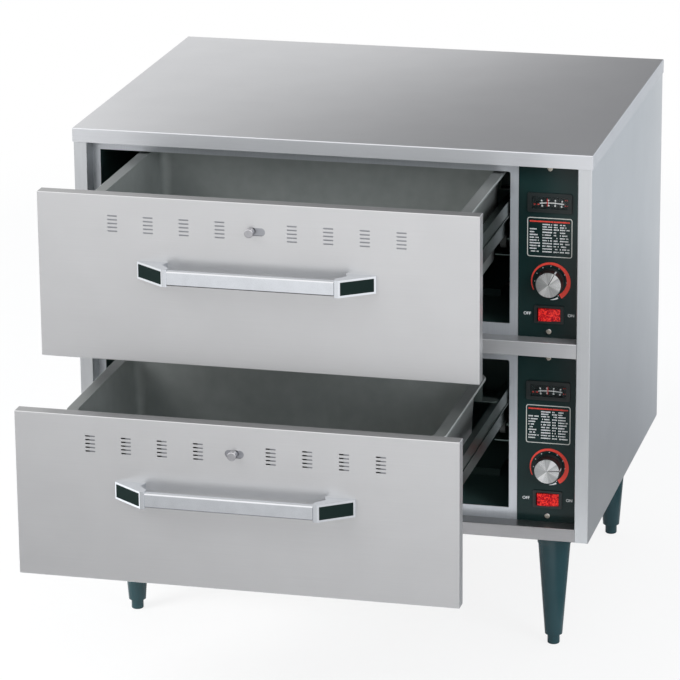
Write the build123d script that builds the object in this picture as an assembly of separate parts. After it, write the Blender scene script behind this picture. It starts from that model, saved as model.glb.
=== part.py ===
from build123d import *
import os

# A countertop warming drawer: a stainless cabinet with two heated drawers, one
# above the other, and a column of controls beside them.
# Millimetres. X runs to the right, Y to the back, Z up. The origin is on the
# floor, under the middle of the cabinet. Both drawers stand partly open.

# ---------------------------------------------------------------- the cabinet
cabinet_depth = 585
leg_room = 176               # floor to the underside of the cabinet
bottom_rail_height = 19
opening_height = 250         # one drawer opening, rail to rail
middle_rail_height = 21
lid_skirt = 20               # how far the lid turns down over the body
lid_corner_radius = 1.5
sheet = 1.5                  # shell, rails, face frames and control panels
bend_radius = 1.2
stile_width = 19.5
recess_depth = 25.1          # stile face back to the face frames
panel_flange = 14            # turned edges of the bottom and back panels
flange_setback = 30

# ------------------------------------------------------ face frame and cavity
control_bay_width = 87       # from the face frames to the right stile
frame_side = 11.5
frame_top = 15.5
frame_bottom = 17
frame_corner_step = 0.7      # the lapped corners lie a little lower
frame_hole_round = 3         # the hole's top right corner
liner_sheet = 1.2
liner_left_room = 3.5        # liner wall behind the left side of the frame
liner_right_room = 4
liner_floor_rise = 11
liner_roof_drop = 6
liner_back_room = 32
bay_wall_sheet = 1.2

# ------------------------------------------------------------- heating element
element_radius = 3.2
element_seat_gap = 0.3
element_hole_gap = 0.3
element_front = 225          # first leg of the hairpin, behind the lid's front
element_bend_radius = 90
element_left_room = 160      # left wall of the cavity to the hairpin's bend
element_tail = 14            # what stands in the control bay
cover_height = 10
cover_sheet = 1
cover_front = 172            # cover's front edge, behind the lid's front
cover_back_room = 41
cover_left_room = 57
cover_right_room = 50

# ------------------------------------------------------------------- controls
control_column = 43          # middle of the controls, left of the right stile
dial_offset = 2              # the dial's middle, right of that
panel_left_gap = 0.6
screw_low = 9                # heights above the foot of the panel
screw_top_inset = 8          # upper screw, below the panel's top
switch_height = 33.5
dial_height = 81
thermometer_height = 193.5
screw_head_radius = 4
screw_head_height = 2.4
screw_head_round = 1.2
screw_shank_radius = 2
screw_hole_gap = 0.1
screw_length = 9
cross_slot_width = 0.9
cross_slot_length = 4.4
cross_slot_depth = 1

thermometer_width = 62
thermometer_tall = 27.5
thermometer_proud = 2.2
thermometer_corner = 2.5
window_width = 50
window_tall = 17
face_depth = 2               # dial face, behind the panel's front
case_margin = 2.5            # the case behind the panel, around the window
case_depth = 20
case_hole_gap = 0.4
needle_width = 1.1
needle_tall = 11
needle_thickness = 0.6
needle_float = 0.8           # needle in front of the dial face
needle_stem_length = 3
needle_stem_height = 1.2
needle_slot_gap = 0.3
needle_slot_depth = 4
needle_place = {"upper": -4, "lower": -1}
needle_travel = 19           # each way from the middle of the window

thermostat_side = 38
thermostat_depth = 28
bush_radius = 4.95
bush_hole_gap = 0.2
bush_nut_radius = 7.5
bush_nut_height = 2
shaft_radius = 3
running_gap = 0.05
shaft_in_body = 12
shaft_end_gap = 0.3
knob_radius = 18.3
knob_skirt_radius = 19.6
knob_skirt_height = 3
knob_height = 17
knob_stand_off = 1
knob_edge_round = 1
knob_back_hollow = 12
knob_back_depth = 3
knob_shaft_depth = 12
cap_radius = 17.6
cap_height = 1.2
cap_edge_round = 0.5
pointer_width = 1.2
pointer_depth = 0.5
pointer_length = 15
dial_pointer = {"upper": 28, "lower": 85}   # degrees clockwise from straight up

switch_bezel_width = 41.5
switch_bezel_tall = 25.5
switch_bezel_proud = 2
switch_bezel_corner = 2
rocker_width = 30.5
rocker_tall = 17.6
rocker_side_gap = 1.2
rocker_end_gap = 0.5
switch_wall = 1.4
switch_depth = 24
switch_well = 10
switch_hole_gap = 0.3
rocker_ridge = 4.6           # ridge of the rocker in front of the panel
rocker_edge = 3.2            # its ends in front of the panel
rocker_pivot_depth = 2.5     # pivot behind the panel's front
rocker_root = 6
rocker_tilt = 7
rocker_pin_radius = 1.2
rocker_pin_length = 1.1

# --------------------------------------------------------------- the drawers
closing_gap = 0.6            # closed front to face frame
full_travel = 420
drawn_out = {"upper": 235.8, "lower": 358.6}
front_side_gap = 2
front_foot_gap = 9
front_top_gap = 9.5          # front's top edge below the opening's
front_thickness = 19
front_sheet = 1.2
front_edge_radius = 1
inner_panel_gap = 0.1

vent_pitch = 49.8
vent_groups_each_side = 4
vent_slots = 5
vent_slot_length = 14
vent_slot_width = 2
vent_slot_pitch = 5.3
vent_drop = 39               # middle of the vents below the front's top edge
knob_slot_length = 26
knob_slot_width = 11
slider_length = 444
slider_height = 32
slider_sheet = 1
slider_gap = 0.2
slider_window_margin = 2
guide_height = 4
guide_lip = 2.5
slider_travel = 7            # each way from the middle of its slot
slider_place = {"upper": -7, "lower": -1}
vent_knob_radius = 6
vent_knob_length = 11
vent_knob_round = 1
vent_knob_gap = 0.5
vent_shank_radius = 4

handle_drop = 101            # middle of the handle below the front's top edge
handle_half_span = 165
handle_reach = 35
handle_bar_half = 121
handle_bar_thickness = 10
handle_bar_height = 20
handle_bar_round = 2
bracket_height = 24
bracket_foot = 42
bracket_toe = 3
bracket_heel = 12
bracket_overlap = 6
bracket_round = 1
insert_margin = 3
insert_depth = 1.5
insert_proud = 0.6
insert_gap = 0.1

# -------------------------------------------------- rails, runners and rollers
rail_right_room = 2          # rail's outer face inside the frame opening
carriage_centre = 20         # middle of the carriage, right of the opening's
rail_drop = 47.5             # rail's top below the front's top edge
rail_back_room = 27          # rail's end to the cavity's back wall, drawer shut
rail_sheet = 1.5
rail_flange = 9
rail_face = 20
rail_lip = 1.2
rail_jog = 4
rail_height = 47.5
rail_foot = 9.5
roller_radius = 13
roller_width = 9
roller_gap = 0.3
roller_round = 1
roller_drop = 6.5            # the runner's foot below the front roller's underside
axle_radius = 3
axle_end = 1
front_roller_place = 50      # behind the lid's front
roller_tab_length = 30
roller_tab_drop = 30
runner_web_gap = 3           # rail's outer face to the runner's web
runner_back_gap = 1
runner_front = 72
runner_top_gap = 5
runner_hold_down = 11
runner_foot = 24
runner_nose = 34             # the web reaches forward to carry the front roller
bracket_strip = 40
bracket_flange = 20
bracket_level = 38           # below the rail's top
bracket_setback = 60

crossbar_depth = 18
crossbar_sheet = 1.5
crossbar_end_radius = 8
crossbar_end_gap = 2
upstand_margin = 30          # pan's end to the end of the ledges that its rim hangs on
crossbar_margin = 12         # pan's end to the end of the crossbar's upstand

# ------------------------------------------------------------------ food pans
pan_length = 523
pan_width = 305
pan_height = 143
pan_sheet = 1
pan_rim = 15
pan_corner = 32
pan_taper = 3
pan_floor_round = 9
pan_drop = 8                 # rim below the front's top edge
pan_front_gap = 1
pan_bead = 3.4
pan_bead_round = 1.4
pan_bead_height = 4
ledge_depth = 13             # pan's front ledge, out from the inner panel
ledge_bead_gap = 1
pan_place = {"upper": 4, "lower": -4}       # where each pan lies on its carriage
pan_side_room = 10.5         # pan's end to the rail's outer face

# -------------------------------------------------------------- legs and feet
leg_inset_side = 60
leg_inset_front = 60
leg_top_radius = 24
leg_shoulder_radius = 23
leg_bottom_radius = 12.5
leg_collar = 22
leg_stud_radius = 5
leg_stud_height = 12
leg_hole_gap = 0.3
foot_height = 15
foot_radius = 8.8
foot_round = 2
foot_stud_radius = 5
foot_stud_length = 34
foot_bore_depth = 40
foot_travel = 20
foot_bore_gap = 0.08

# ----------------------------------------------------------------- cord inlet
inlet_height = 45            # above the cabinet's underside
inlet_flange_radius = 15
inlet_flange_height = 3
inlet_body_radius = 12
inlet_body_length = 14
inlet_bore_radius = 6.5
inlet_hole_gap = 0.3

# ------------------------------------------------- places worked out from them
hole_width = 2 * (pan_length / 2 + pan_side_room + rail_right_room + carriage_centre)
drawer_bay_width = hole_width + 2 * frame_side
cabinet_width = drawer_bay_width + control_bay_width + 2 * (stile_width + sheet)
front = -cabinet_depth / 2
back = cabinet_depth / 2
half_width = cabinet_width / 2
cabinet_bottom = leg_room
opening_foot = {
    "lower": cabinet_bottom + bottom_rail_height,
    "upper": cabinet_bottom + bottom_rail_height + opening_height + middle_rail_height,
}
lid_bottom = opening_foot["upper"] + opening_height
lid_top = lid_bottom + lid_skirt
lid_underside = lid_top - sheet
stile_face = front + sheet
stile_inner = half_width - sheet - stile_width
frame_plane = stile_face + recess_depth
frame_back = frame_plane + sheet
wall_inner = half_width - 2 * sheet
back_panel_inner = back - 2 * sheet

frame_left = -stile_inner
frame_right = frame_left + drawer_bay_width
hole_left = frame_left + frame_side
hole_right = frame_right - frame_side
liner_left = frame_left + liner_left_room
liner_right = frame_right - liner_right_room
liner_back = back - liner_back_room
control_x = stile_inner - control_column
dial_x = control_x + dial_offset
screw_high = opening_height - screw_top_inset

carriage_x = (hole_left + hole_right) / 2 + carriage_centre
rail_outer = hole_right - rail_right_room
closed_face = frame_plane - closing_gap - front_thickness
front_height = opening_height - front_foot_gap - front_top_gap
front_left = frame_left + front_side_gap
front_right = frame_right
front_x = (front_left + front_right) / 2
rail_length = liner_back - rail_back_room - (closed_face + front_thickness)
runner_start = front + runner_front
runner_end = liner_back - runner_back_gap
drawers = ("upper", "lower")


def front_top(drawer):
    return opening_foot[drawer] + front_foot_gap + front_height


def face_y(drawer):
    return closed_face - drawn_out[drawer]


def carriage_front(drawer):
    return face_y(drawer) + front_thickness


def rail_top(drawer):
    return front_top(drawer) - rail_drop


# ------------------------------------------------------------- shaping helpers
def block(x0, x1, y0, y1, z0, z1):
    middle = Pos((x0 + x1) / 2, (y0 + y1) / 2, (z0 + z1) / 2)
    return middle * Box(x1 - x0, y1 - y0, z1 - z0)


def rod_x(radius, x0, x1, y, z):
    return Pos((x0 + x1) / 2, y, z) * Rot(0, 90, 0) * Cylinder(radius, abs(x1 - x0))


def rod_y(radius, x, y0, y1, z):
    return Pos(x, (y0 + y1) / 2, z) * Rot(90, 0, 0) * Cylinder(radius, abs(y1 - y0))


def rod_z(radius, x, y, z0, z1):
    return Pos(x, y, (z0 + z1) / 2) * Cylinder(radius, z1 - z0)


def facing_front(x, y, z):
    """A plane that faces the user: its x runs right and its y runs up."""
    return Plane(origin=(x, y, z), x_dir=(1, 0, 0), z_dir=(0, -1, 0))


def edges_at(shape, axis, **place):
    """The straight edges along an axis that lie at the given coordinates."""
    found = shape.edges().filter_by(axis)
    for name, value in place.items():
        found = found.filter_by(lambda edge: abs(getattr(edge.center(), name) - value) < 0.01)
    return found


def mirrored(shape, x):
    return mirror(shape, about=Plane.YZ.offset(x))


def save(name, *pieces):
    solids = [solid for piece in pieces for solid in piece.solids()]
    shape = solids[0] if len(solids) == 1 else Compound(children=solids)
    export_step(shape, f"parts/{name}.step")


# ------------------------------------------------------------ cabinet's shell
def top_cover():
    """Lid: a flat sheet whose skirt turns down on all four sides."""
    lid = block(-half_width, half_width, front, back, lid_bottom, lid_top)
    rounded = lid.edges().group_by(Axis.Z)[-1] + lid.edges().filter_by(Axis.Z)
    lid = fillet(rounded, lid_corner_radius)
    inside = half_width - sheet
    return lid - block(-inside, inside, stile_face, back - sheet, lid_bottom - sheet, lid_underside)


def right_side_panel():
    """Side wall that turns in as the front stile, then back to the face frame."""
    outer = half_width - sheet
    wall = block(wall_inner, outer, stile_face, back - sheet, cabinet_bottom, lid_underside)
    stile = block(stile_inner, outer, stile_face, stile_face + sheet, cabinet_bottom, lid_underside)
    turn = block(stile_inner, stile_inner + sheet, stile_face, frame_back, cabinet_bottom, lid_underside)
    panel = wall + stile + turn
    bends = edges_at(panel, Axis.Z, X=outer, Y=stile_face)
    bends += edges_at(panel, Axis.Z, X=stile_inner, Y=stile_face)
    return fillet(bends, bend_radius)


def back_panel():
    plate = block(-wall_inner, wall_inner, back_panel_inner, back - sheet, cabinet_bottom, lid_underside)
    for side in (-1, 1):
        outer = side * wall_inner
        inner = side * (wall_inner - sheet)
        reach = back_panel_inner - panel_flange
        top = lid_underside - flange_setback
        foot = cabinet_bottom + flange_setback
        plate += block(min(outer, inner), max(outer, inner), reach, back_panel_inner, foot, top)
    hole = inlet_body_radius + inlet_hole_gap
    return plate - rod_y(hole, control_x, back_panel_inner, back, cabinet_bottom + inlet_height)


def leg_places():
    x = half_width - leg_inset_side
    y = cabinet_depth / 2 - leg_inset_front
    return {
        "front_left": (-x, -y),
        "front_right": (x, -y),
        "back_left": (-x, y),
        "back_right": (x, y),
    }


def bottom_panel():
    """Floor of the cabinet, whose front edge folds up and back as the bottom rail."""
    rail_top_z = opening_foot["lower"]
    floor = cabinet_bottom + sheet
    panel = block(-wall_inner, wall_inner, frame_back, back_panel_inner, cabinet_bottom, floor)
    panel += block(-stile_inner, stile_inner, stile_face, frame_back, cabinet_bottom, floor)
    panel += block(-stile_inner, stile_inner, stile_face, stile_face + sheet, cabinet_bottom, rail_top_z)
    panel += block(-stile_inner, stile_inner, stile_face, frame_back, rail_top_z - sheet, rail_top_z)
    for side in (-1, 1):
        outer = side * wall_inner
        inner = side * (wall_inner - sheet)
        start = frame_back + flange_setback
        end = back_panel_inner - flange_setback
        top = floor + panel_flange
        panel += block(min(outer, inner), max(outer, inner), start, end, floor, top)
    bends = edges_at(panel, Axis.X, Y=stile_face, Z=rail_top_z)
    bends += edges_at(panel, Axis.X, Y=stile_face, Z=cabinet_bottom)
    panel = fillet(bends, bend_radius)
    for x, y in leg_places().values():
        panel -= rod_z(leg_stud_radius + leg_hole_gap, x, y, cabinet_bottom, floor)
    return panel


def middle_rail():
    """Channel between the drawer openings, welded to the stiles at both ends."""
    foot = opening_foot["lower"] + opening_height
    top = opening_foot["upper"]
    rail = block(-stile_inner, stile_inner, stile_face, stile_face + sheet, foot, top)
    rail += block(-stile_inner, stile_inner, stile_face, frame_back, top - sheet, top)
    rail += block(-stile_inner, stile_inner, stile_face, frame_back, foot, foot + sheet)
    bends = edges_at(rail, Axis.X, Y=stile_face, Z=top) + edges_at(rail, Axis.X, Y=stile_face, Z=foot)
    return fillet(bends, bend_radius)


def face_frame(drawer):
    """Flat frame round one drawer opening, set back behind the stiles."""
    foot = opening_foot[drawer]
    top = foot + opening_height
    frame = block(frame_left, frame_right, frame_plane, frame_back, foot, top)
    frame -= block(hole_left, hole_right, frame_plane, frame_back, foot + frame_bottom, top - frame_top)
    corner = edges_at(frame, Axis.Y, X=hole_right, Z=top - frame_top)
    frame = fillet(corner, frame_hole_round)
    step_back = frame_plane + frame_corner_step
    frame -= block(hole_right, frame_right, frame_plane, step_back, foot, foot + frame_side)
    frame -= block(frame_left, hole_left, frame_plane, step_back, foot, foot + frame_side)
    return frame


def element_legs():
    """The Y places of the hairpin's two straight legs."""
    first = front + element_front
    return first, first + 2 * element_bend_radius


def element_level(drawer):
    return opening_foot[drawer] + liner_floor_rise + element_seat_gap + element_radius


def element_holes(drawer, x0, x1):
    radius = element_radius + element_hole_gap
    return [rod_x(radius, x0, x1, y, element_level(drawer)) for y in element_legs()]


def cavity_liner(drawer):
    """Box of the heated cavity, open to the front."""
    floor = opening_foot[drawer] + liner_floor_rise
    roof = opening_foot[drawer] + opening_height - liner_roof_drop
    wall = liner_sheet
    left = liner_left - wall
    right = liner_right + wall
    outer = block(left, right, frame_back, liner_back + wall, floor - wall, roof + wall)
    liner = outer - block(liner_left, liner_right, frame_back, liner_back, floor, roof)
    for hole in element_holes(drawer, liner_right, liner_right + wall):
        liner -= hole
    return liner


def control_bay_wall():
    """Upright partition between the hot cavities and the controls."""
    right = frame_right + bay_wall_sheet
    wall = block(frame_right, right, frame_back, back_panel_inner, cabinet_bottom + sheet, lid_underside)
    for drawer in drawers:
        for hole in element_holes(drawer, frame_right, right):
            wall -= hole
    return wall


def cord_bushing():
    """Round bushing in the back panel that the mains lead comes in through."""
    z = cabinet_bottom + inlet_height
    outside = back - sheet
    bushing = rod_y(inlet_flange_radius, control_x, outside, outside + inlet_flange_height, z)
    bushing += rod_y(inlet_body_radius, control_x, outside - inlet_body_length, outside, z)
    end = outside + inlet_flange_height
    return bushing - rod_y(inlet_bore_radius, control_x, outside - inlet_body_length, end, z)


# ---------------------------------------------------------------- heating
def heating_element(drawer):
    """Hairpin of sheathed element on the cavity's floor, its ends in the control bay."""
    near, far = element_legs()
    z = element_level(drawer)
    left = liner_left + element_left_room
    right = frame_right + bay_wall_sheet + element_tail
    path = Line((right, near, z), (left, near, z))
    path += RadiusArc((left, near, z), (left, far, z), element_bend_radius)
    path += Line((left, far, z), (right, far, z))
    section = Plane(origin=(right, near, z), z_dir=(-1, 0, 0)) * Circle(element_radius)
    return sweep(section, path=path)


def element_cover(drawer):
    """Low tray, turned over the element; its right side is open for the ends."""
    floor = opening_foot[drawer] + liner_floor_rise
    top = floor + cover_height
    left = liner_left + cover_left_room
    right = liner_right - cover_right_room
    near = front + cover_front
    far = liner_back - cover_back_room
    cover = block(left, right, near, far, floor, top)
    inner_top = top - cover_sheet
    return cover - block(left + cover_sheet, right, near + cover_sheet, far - cover_sheet, floor, inner_top)


# --------------------------------------------------------------- controls
def control_panel(drawer):
    """Dark panel with the cut-outs for one drawer's controls."""
    foot = opening_foot[drawer]
    left = frame_right + panel_left_gap
    panel = block(left, stile_inner, frame_plane, frame_back, foot, foot + opening_height)
    for height in (screw_low, screw_high):
        radius = screw_shank_radius + screw_hole_gap
        panel -= rod_y(radius, control_x, frame_plane, frame_back, foot + height)
    radius = bush_radius + bush_hole_gap
    panel -= rod_y(radius, dial_x, frame_plane, frame_back, foot + dial_height)
    case_gap = case_margin + case_hole_gap
    panel -= opening_in_panel(foot + thermometer_height, window_width, window_tall, case_gap)
    panel -= opening_in_panel(foot + switch_height, switch_width(), switch_tall(), switch_hole_gap)
    return panel


def opening_in_panel(z, width, height, margin):
    half_w = width / 2 + margin
    half_h = height / 2 + margin
    return block(control_x - half_w, control_x + half_w, frame_plane, frame_back, z - half_h, z + half_h)


def panel_screw(drawer, height):
    """Pan-head screw with a cross recess."""
    z = opening_foot[drawer] + height
    top = frame_plane - screw_head_height
    head = rod_y(screw_head_radius, control_x, top, frame_plane, z)
    head = fillet(head.edges().sort_by(Axis.Y)[0], screw_head_round)
    screw = head + rod_y(screw_shank_radius, control_x, frame_plane, frame_plane + screw_length, z)
    plane = facing_front(control_x, top, z)
    cross = Rectangle(cross_slot_length, cross_slot_width) + Rectangle(cross_slot_width, cross_slot_length)
    return screw - extrude(plane * cross, -cross_slot_depth)


def thermometer_case(drawer):
    """Bezel on the panel, case behind it, and a sunk dial face with the needle's slot."""
    z = opening_foot[drawer] + thermometer_height
    top = frame_plane - thermometer_proud
    plane = facing_front(control_x, top, z)
    bezel = RectangleRounded(thermometer_width, thermometer_tall, thermometer_corner)
    case = extrude(plane * bezel, -thermometer_proud)
    half_w = window_width / 2 + case_margin
    half_h = window_tall / 2 + case_margin
    far = frame_plane + case_depth
    case += block(control_x - half_w, control_x + half_w, frame_plane, far, z - half_h, z + half_h)
    case -= extrude(plane * Rectangle(window_width, window_tall), -(thermometer_proud + face_depth))
    slot_half = needle_travel + needle_width
    slot_tall = needle_stem_height / 2 + needle_slot_gap
    face = frame_plane + face_depth
    far = face + needle_slot_depth
    return case - block(control_x - slot_half, control_x + slot_half, face, far, z - slot_tall, z + slot_tall)


def thermometer_needle(drawer):
    """Pointer that slides along the scale, on a stem that runs in the face's slot."""
    z = opening_foot[drawer] + thermometer_height
    x = control_x + needle_place[drawer]
    half = needle_width / 2
    face = frame_plane + face_depth
    near = face - needle_float - needle_thickness
    tip = z + needle_tall / 2
    needle = block(x - half, x + half, near, near + needle_thickness, z - needle_tall / 2, tip)
    stem_half = needle_stem_height / 2
    return needle + block(x - half, x + half, near, face + needle_stem_length, z - stem_half, z + stem_half)


def thermostat_body(drawer):
    """Thermostat behind the panel, held by the nut on its threaded bush."""
    z = opening_foot[drawer] + dial_height
    half = thermostat_side / 2
    far = frame_back + thermostat_depth
    body = block(dial_x - half, dial_x + half, frame_back, far, z - half, z + half)
    body += rod_y(bush_radius, dial_x, frame_plane - bush_nut_height, frame_back, z)
    plane = facing_front(dial_x, frame_plane, z)
    body += extrude(plane * RegularPolygon(bush_nut_radius, 6), bush_nut_height)
    bore_end = frame_back + shaft_in_body
    return body - rod_y(shaft_radius + running_gap, dial_x, frame_plane - bush_nut_height, bore_end, z)


def knob_front():
    return frame_plane - knob_stand_off - knob_height


def thermostat_shaft(drawer):
    z = opening_foot[drawer] + dial_height
    tip = frame_plane - knob_stand_off - knob_shaft_depth
    return rod_y(shaft_radius, dial_x, tip, frame_back + shaft_in_body - shaft_end_gap, z)


def thermostat_knob(drawer):
    """Black knob with a skirt, hollow at the back for the bush nut."""
    z = opening_foot[drawer] + dial_height
    rear = frame_plane - knob_stand_off
    body = rod_y(knob_radius, dial_x, knob_front(), rear, z)
    body = fillet(body.edges().sort_by(Axis.Y)[0], knob_edge_round)
    skirt = rod_y(knob_skirt_radius, dial_x, rear - knob_skirt_height, rear, z)
    skirt = fillet(skirt.edges().sort_by(Axis.Y)[0], knob_edge_round)
    knob = body + skirt
    knob -= rod_y(knob_back_hollow, dial_x, rear - knob_back_depth, rear, z)
    knob -= rod_y(shaft_radius + running_gap, dial_x, rear - knob_shaft_depth, rear, z)
    return knob


def knob_cap(drawer):
    """Aluminium disc on the knob's front, with the pointer cut into it."""
    z = opening_foot[drawer] + dial_height
    near = knob_front() - cap_height
    cap = rod_y(cap_radius, dial_x, near, knob_front(), z)
    cap = fillet(cap.edges().sort_by(Axis.Y)[0], cap_edge_round)
    plane = facing_front(dial_x, near, z) * Rot(0, 0, -dial_pointer[drawer])
    groove = Pos(0, cap_radius - pointer_length / 2) * Rectangle(pointer_width, pointer_length)
    return cap - extrude(plane * groove, -pointer_depth)


def switch_width():
    return rocker_width + 2 * (rocker_side_gap + switch_wall)


def switch_tall():
    return rocker_tall + 2 * (rocker_end_gap + switch_wall)


def rocker_pivot(drawer):
    return frame_plane + rocker_pivot_depth, opening_foot[drawer] + switch_height


def switch_housing(drawer):
    """Snap-in switch body with its bezel, and a well that the rocker tips in."""
    pivot_y, z = rocker_pivot(drawer)
    top = frame_plane - switch_bezel_proud
    plane = facing_front(control_x, top, z)
    bezel = RectangleRounded(switch_bezel_width, switch_bezel_tall, switch_bezel_corner)
    housing = extrude(plane * bezel, -switch_bezel_proud)
    far = frame_plane + switch_depth
    half_w = switch_width() / 2
    half_h = switch_tall() / 2
    housing += block(control_x - half_w, control_x + half_w, frame_plane, far, z - half_h, z + half_h)
    well = Rectangle(rocker_width + 2 * rocker_side_gap, rocker_tall + 2 * rocker_end_gap)
    housing -= extrude(plane * well, -(switch_bezel_proud + switch_well))
    reach = rocker_tall / 2 + rocker_pin_length + running_gap
    return housing - rod_z(rocker_pin_radius + running_gap, control_x, pivot_y, z - reach, z + reach)


def switch_rocker(drawer):
    """Translucent rocker on two small pins, tipped to its ON side."""
    pivot_y, z = rocker_pivot(drawer)
    half = rocker_width / 2
    ridge = frame_plane - rocker_ridge
    edge = frame_plane - rocker_edge
    root = frame_plane + rocker_root
    outline = Polyline(
        (control_x - half, edge),
        (control_x, ridge),
        (control_x + half, edge),
        (control_x + half, frame_plane),
        (control_x + half / 2, root),
        (control_x - half / 2, root),
        (control_x - half, frame_plane),
        close=True,
    )
    rocker = extrude(Plane.XY.offset(z - rocker_tall / 2) * make_face(outline), rocker_tall)
    reach = rocker_tall / 2 + rocker_pin_length
    rocker += rod_z(rocker_pin_radius, control_x, pivot_y, z - reach, z + reach)
    return rocker.rotate(Axis((control_x, pivot_y, z), (0, 0, 1)), rocker_tilt)


# --------------------------------------------------------- the drawer's front
def vent_places():
    places = []
    for number in range(1, vent_groups_each_side + 1):
        places += [-number * vent_pitch, number * vent_pitch]
    return places


def vent_windows(shift):
    """One window for each group of slots, for the sheets behind the front."""
    height = (vent_slots - 1) * vent_slot_pitch + vent_slot_width + slider_window_margin
    windows = [Pos(place + shift, 0) * Rectangle(vent_slot_length, height) for place in vent_places()]
    return Sketch() + windows


def drawer_front(drawer):
    """Folded outer skin: slots for the vents and guides for their slider behind them."""
    y = face_y(drawer)
    top = front_top(drawer)
    foot = top - front_height
    skin = block(front_left, front_right, y, y + front_thickness, foot, top)
    skin = fillet(skin.edges().group_by(Axis.Y)[0] + skin.edges().filter_by(Axis.Y), front_edge_radius)
    inner = front_sheet
    skin -= block(
        front_left + inner, front_right - inner, y + inner, y + front_thickness, foot + inner, top - inner
    )
    z = top - vent_drop
    for side in (-1, 1):
        edge = slider_height / 2 + slider_gap
        near = y + front_sheet
        step = near + slider_gap + slider_sheet + slider_gap
        low, high = sorted((z + side * edge, z + side * (edge + guide_height)))
        lip_low, lip_high = sorted((z + side * (edge - guide_lip), z + side * (edge + guide_height)))
        half = slider_length / 2
        skin += block(front_x - half, front_x + half, near, step, low, high)
        skin += block(front_x - half, front_x + half, step, step + front_sheet, lip_low, lip_high)
    plane = facing_front(front_x, y, z)
    first = -(vent_slots - 1) / 2 * vent_slot_pitch
    slots = [
        Pos(place, first + row * vent_slot_pitch) * SlotOverall(vent_slot_length, vent_slot_width)
        for place in vent_places()
        for row in range(vent_slots)
    ]
    slots.append(SlotOverall(knob_slot_length, knob_slot_width))
    return skin - extrude(plane * (Sketch() + slots), -front_sheet)


def pan_ledge_height(drawer):
    return front_top(drawer) - pan_drop - pan_sheet


def inner_panel(drawer):
    """Sheet that closes the front from behind, with the ledge that the pan's rim hangs on."""
    y = carriage_front(drawer)
    top = front_top(drawer)
    inner = front_sheet + inner_panel_gap
    low = top - front_height + inner
    panel = block(front_left + inner, front_right - inner, y - front_sheet, y, low, top - inner)
    left = carriage_x - pan_length / 2 + upstand_margin
    right = carriage_x + pan_length / 2 - upstand_margin
    ledge_top = pan_ledge_height(drawer)
    ledge_foot = ledge_top + pan_sheet - pan_bead_height - ledge_bead_gap
    far = y + ledge_depth
    ledge = block(left, right, y, far, ledge_foot - front_sheet, ledge_foot)
    ledge += block(left, right, far - front_sheet, far, ledge_foot, ledge_top)
    plane = facing_front(front_x, y - front_sheet, top - vent_drop)
    return panel + ledge - extrude(plane * vent_windows(0), -front_sheet)


def vent_slider(drawer):
    """Strip behind the slots that covers or clears them."""
    near = face_y(drawer) + front_sheet + slider_gap
    z = front_top(drawer) - vent_drop
    x = front_x + slider_place[drawer]
    half = slider_length / 2
    half_h = slider_height / 2
    strip = block(x - half, x + half, near, near + slider_sheet, z - half_h, z + half_h)
    windows = vent_windows(-slider_travel)
    return strip - extrude(facing_front(x, near, z) * windows, -slider_sheet)


def vent_knob(drawer):
    """Small turned knob that moves the slider through its slot."""
    y = face_y(drawer)
    z = front_top(drawer) - vent_drop
    x = front_x + slider_place[drawer]
    rear = y - vent_knob_gap
    head = rod_y(vent_knob_radius, x, rear - vent_knob_length, rear, z)
    head = fillet(head.edges().sort_by(Axis.Y)[0], vent_knob_round)
    return head + rod_y(vent_shank_radius, x, rear, y + front_sheet + slider_gap, z)


def handle_bar(drawer):
    """Flat-faced bar between the brackets."""
    y = face_y(drawer) - handle_reach
    z = front_top(drawer) - handle_drop
    half = handle_bar_half - bracket_overlap
    low = z - handle_bar_height / 2
    bar = block(front_x - half, front_x + half, y, y + handle_bar_thickness, low, low + handle_bar_height)
    return fillet(bar.edges().filter_by(Axis.X), handle_bar_round)


def bracket_slope():
    """The two ends of the bracket's sloped outer face, as X and reach from the front."""
    return (handle_half_span, bracket_toe), (handle_bar_half, handle_reach)


def handle_bracket(drawer):
    """Right-hand wedge that stands off the front and carries the bar's end."""
    y = face_y(drawer)
    z = front_top(drawer) - handle_drop
    outer, peak = bracket_slope()
    inner = handle_bar_half - bracket_overlap
    outline = Polyline(
        (outer[0], 0),
        outer,
        peak,
        (inner, handle_reach),
        (inner, handle_reach - handle_bar_thickness),
        (inner + bracket_heel, bracket_heel),
        (handle_half_span - bracket_foot, 0),
        close=True,
    )
    half = bracket_height / 2
    plane = Plane(origin=(front_x, y, z - half), x_dir=(1, 0, 0), z_dir=(0, 0, 1))
    flat = scale(make_face(outline), by=(1, -1, 1))
    bracket = extrude(plane * flat, bracket_height)
    rounded = bracket.edges().filter_by(Axis.Z).group_by(Axis.Y)[0]
    bracket = fillet(rounded, bracket_round)
    return bracket - insert_block(drawer, 0, insert_depth)


def insert_block(drawer, out, depth):
    """A block on the right bracket's slope, from a height above it to a depth in it."""
    outer, peak = bracket_slope()
    foot = Vector(front_x + outer[0], face_y(drawer) - outer[1], front_top(drawer) - handle_drop)
    crest = Vector(front_x + peak[0], face_y(drawer) - peak[1], foot.Z)
    along = (crest - foot).normalized()
    outward = along.cross(Vector(0, 0, 1)) * -1
    plane = Plane(origin=(foot + crest) * 0.5, x_dir=along, z_dir=outward)
    gap = insert_gap if out else 0
    length = (crest - foot).length - 2 * (insert_margin + gap)
    height = bracket_height - 2 * (insert_margin + gap)
    return extrude(plane.offset(out) * Rectangle(length, height), -(out + depth))


def handle_insert(drawer):
    return insert_block(drawer, insert_proud, insert_depth)


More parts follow.
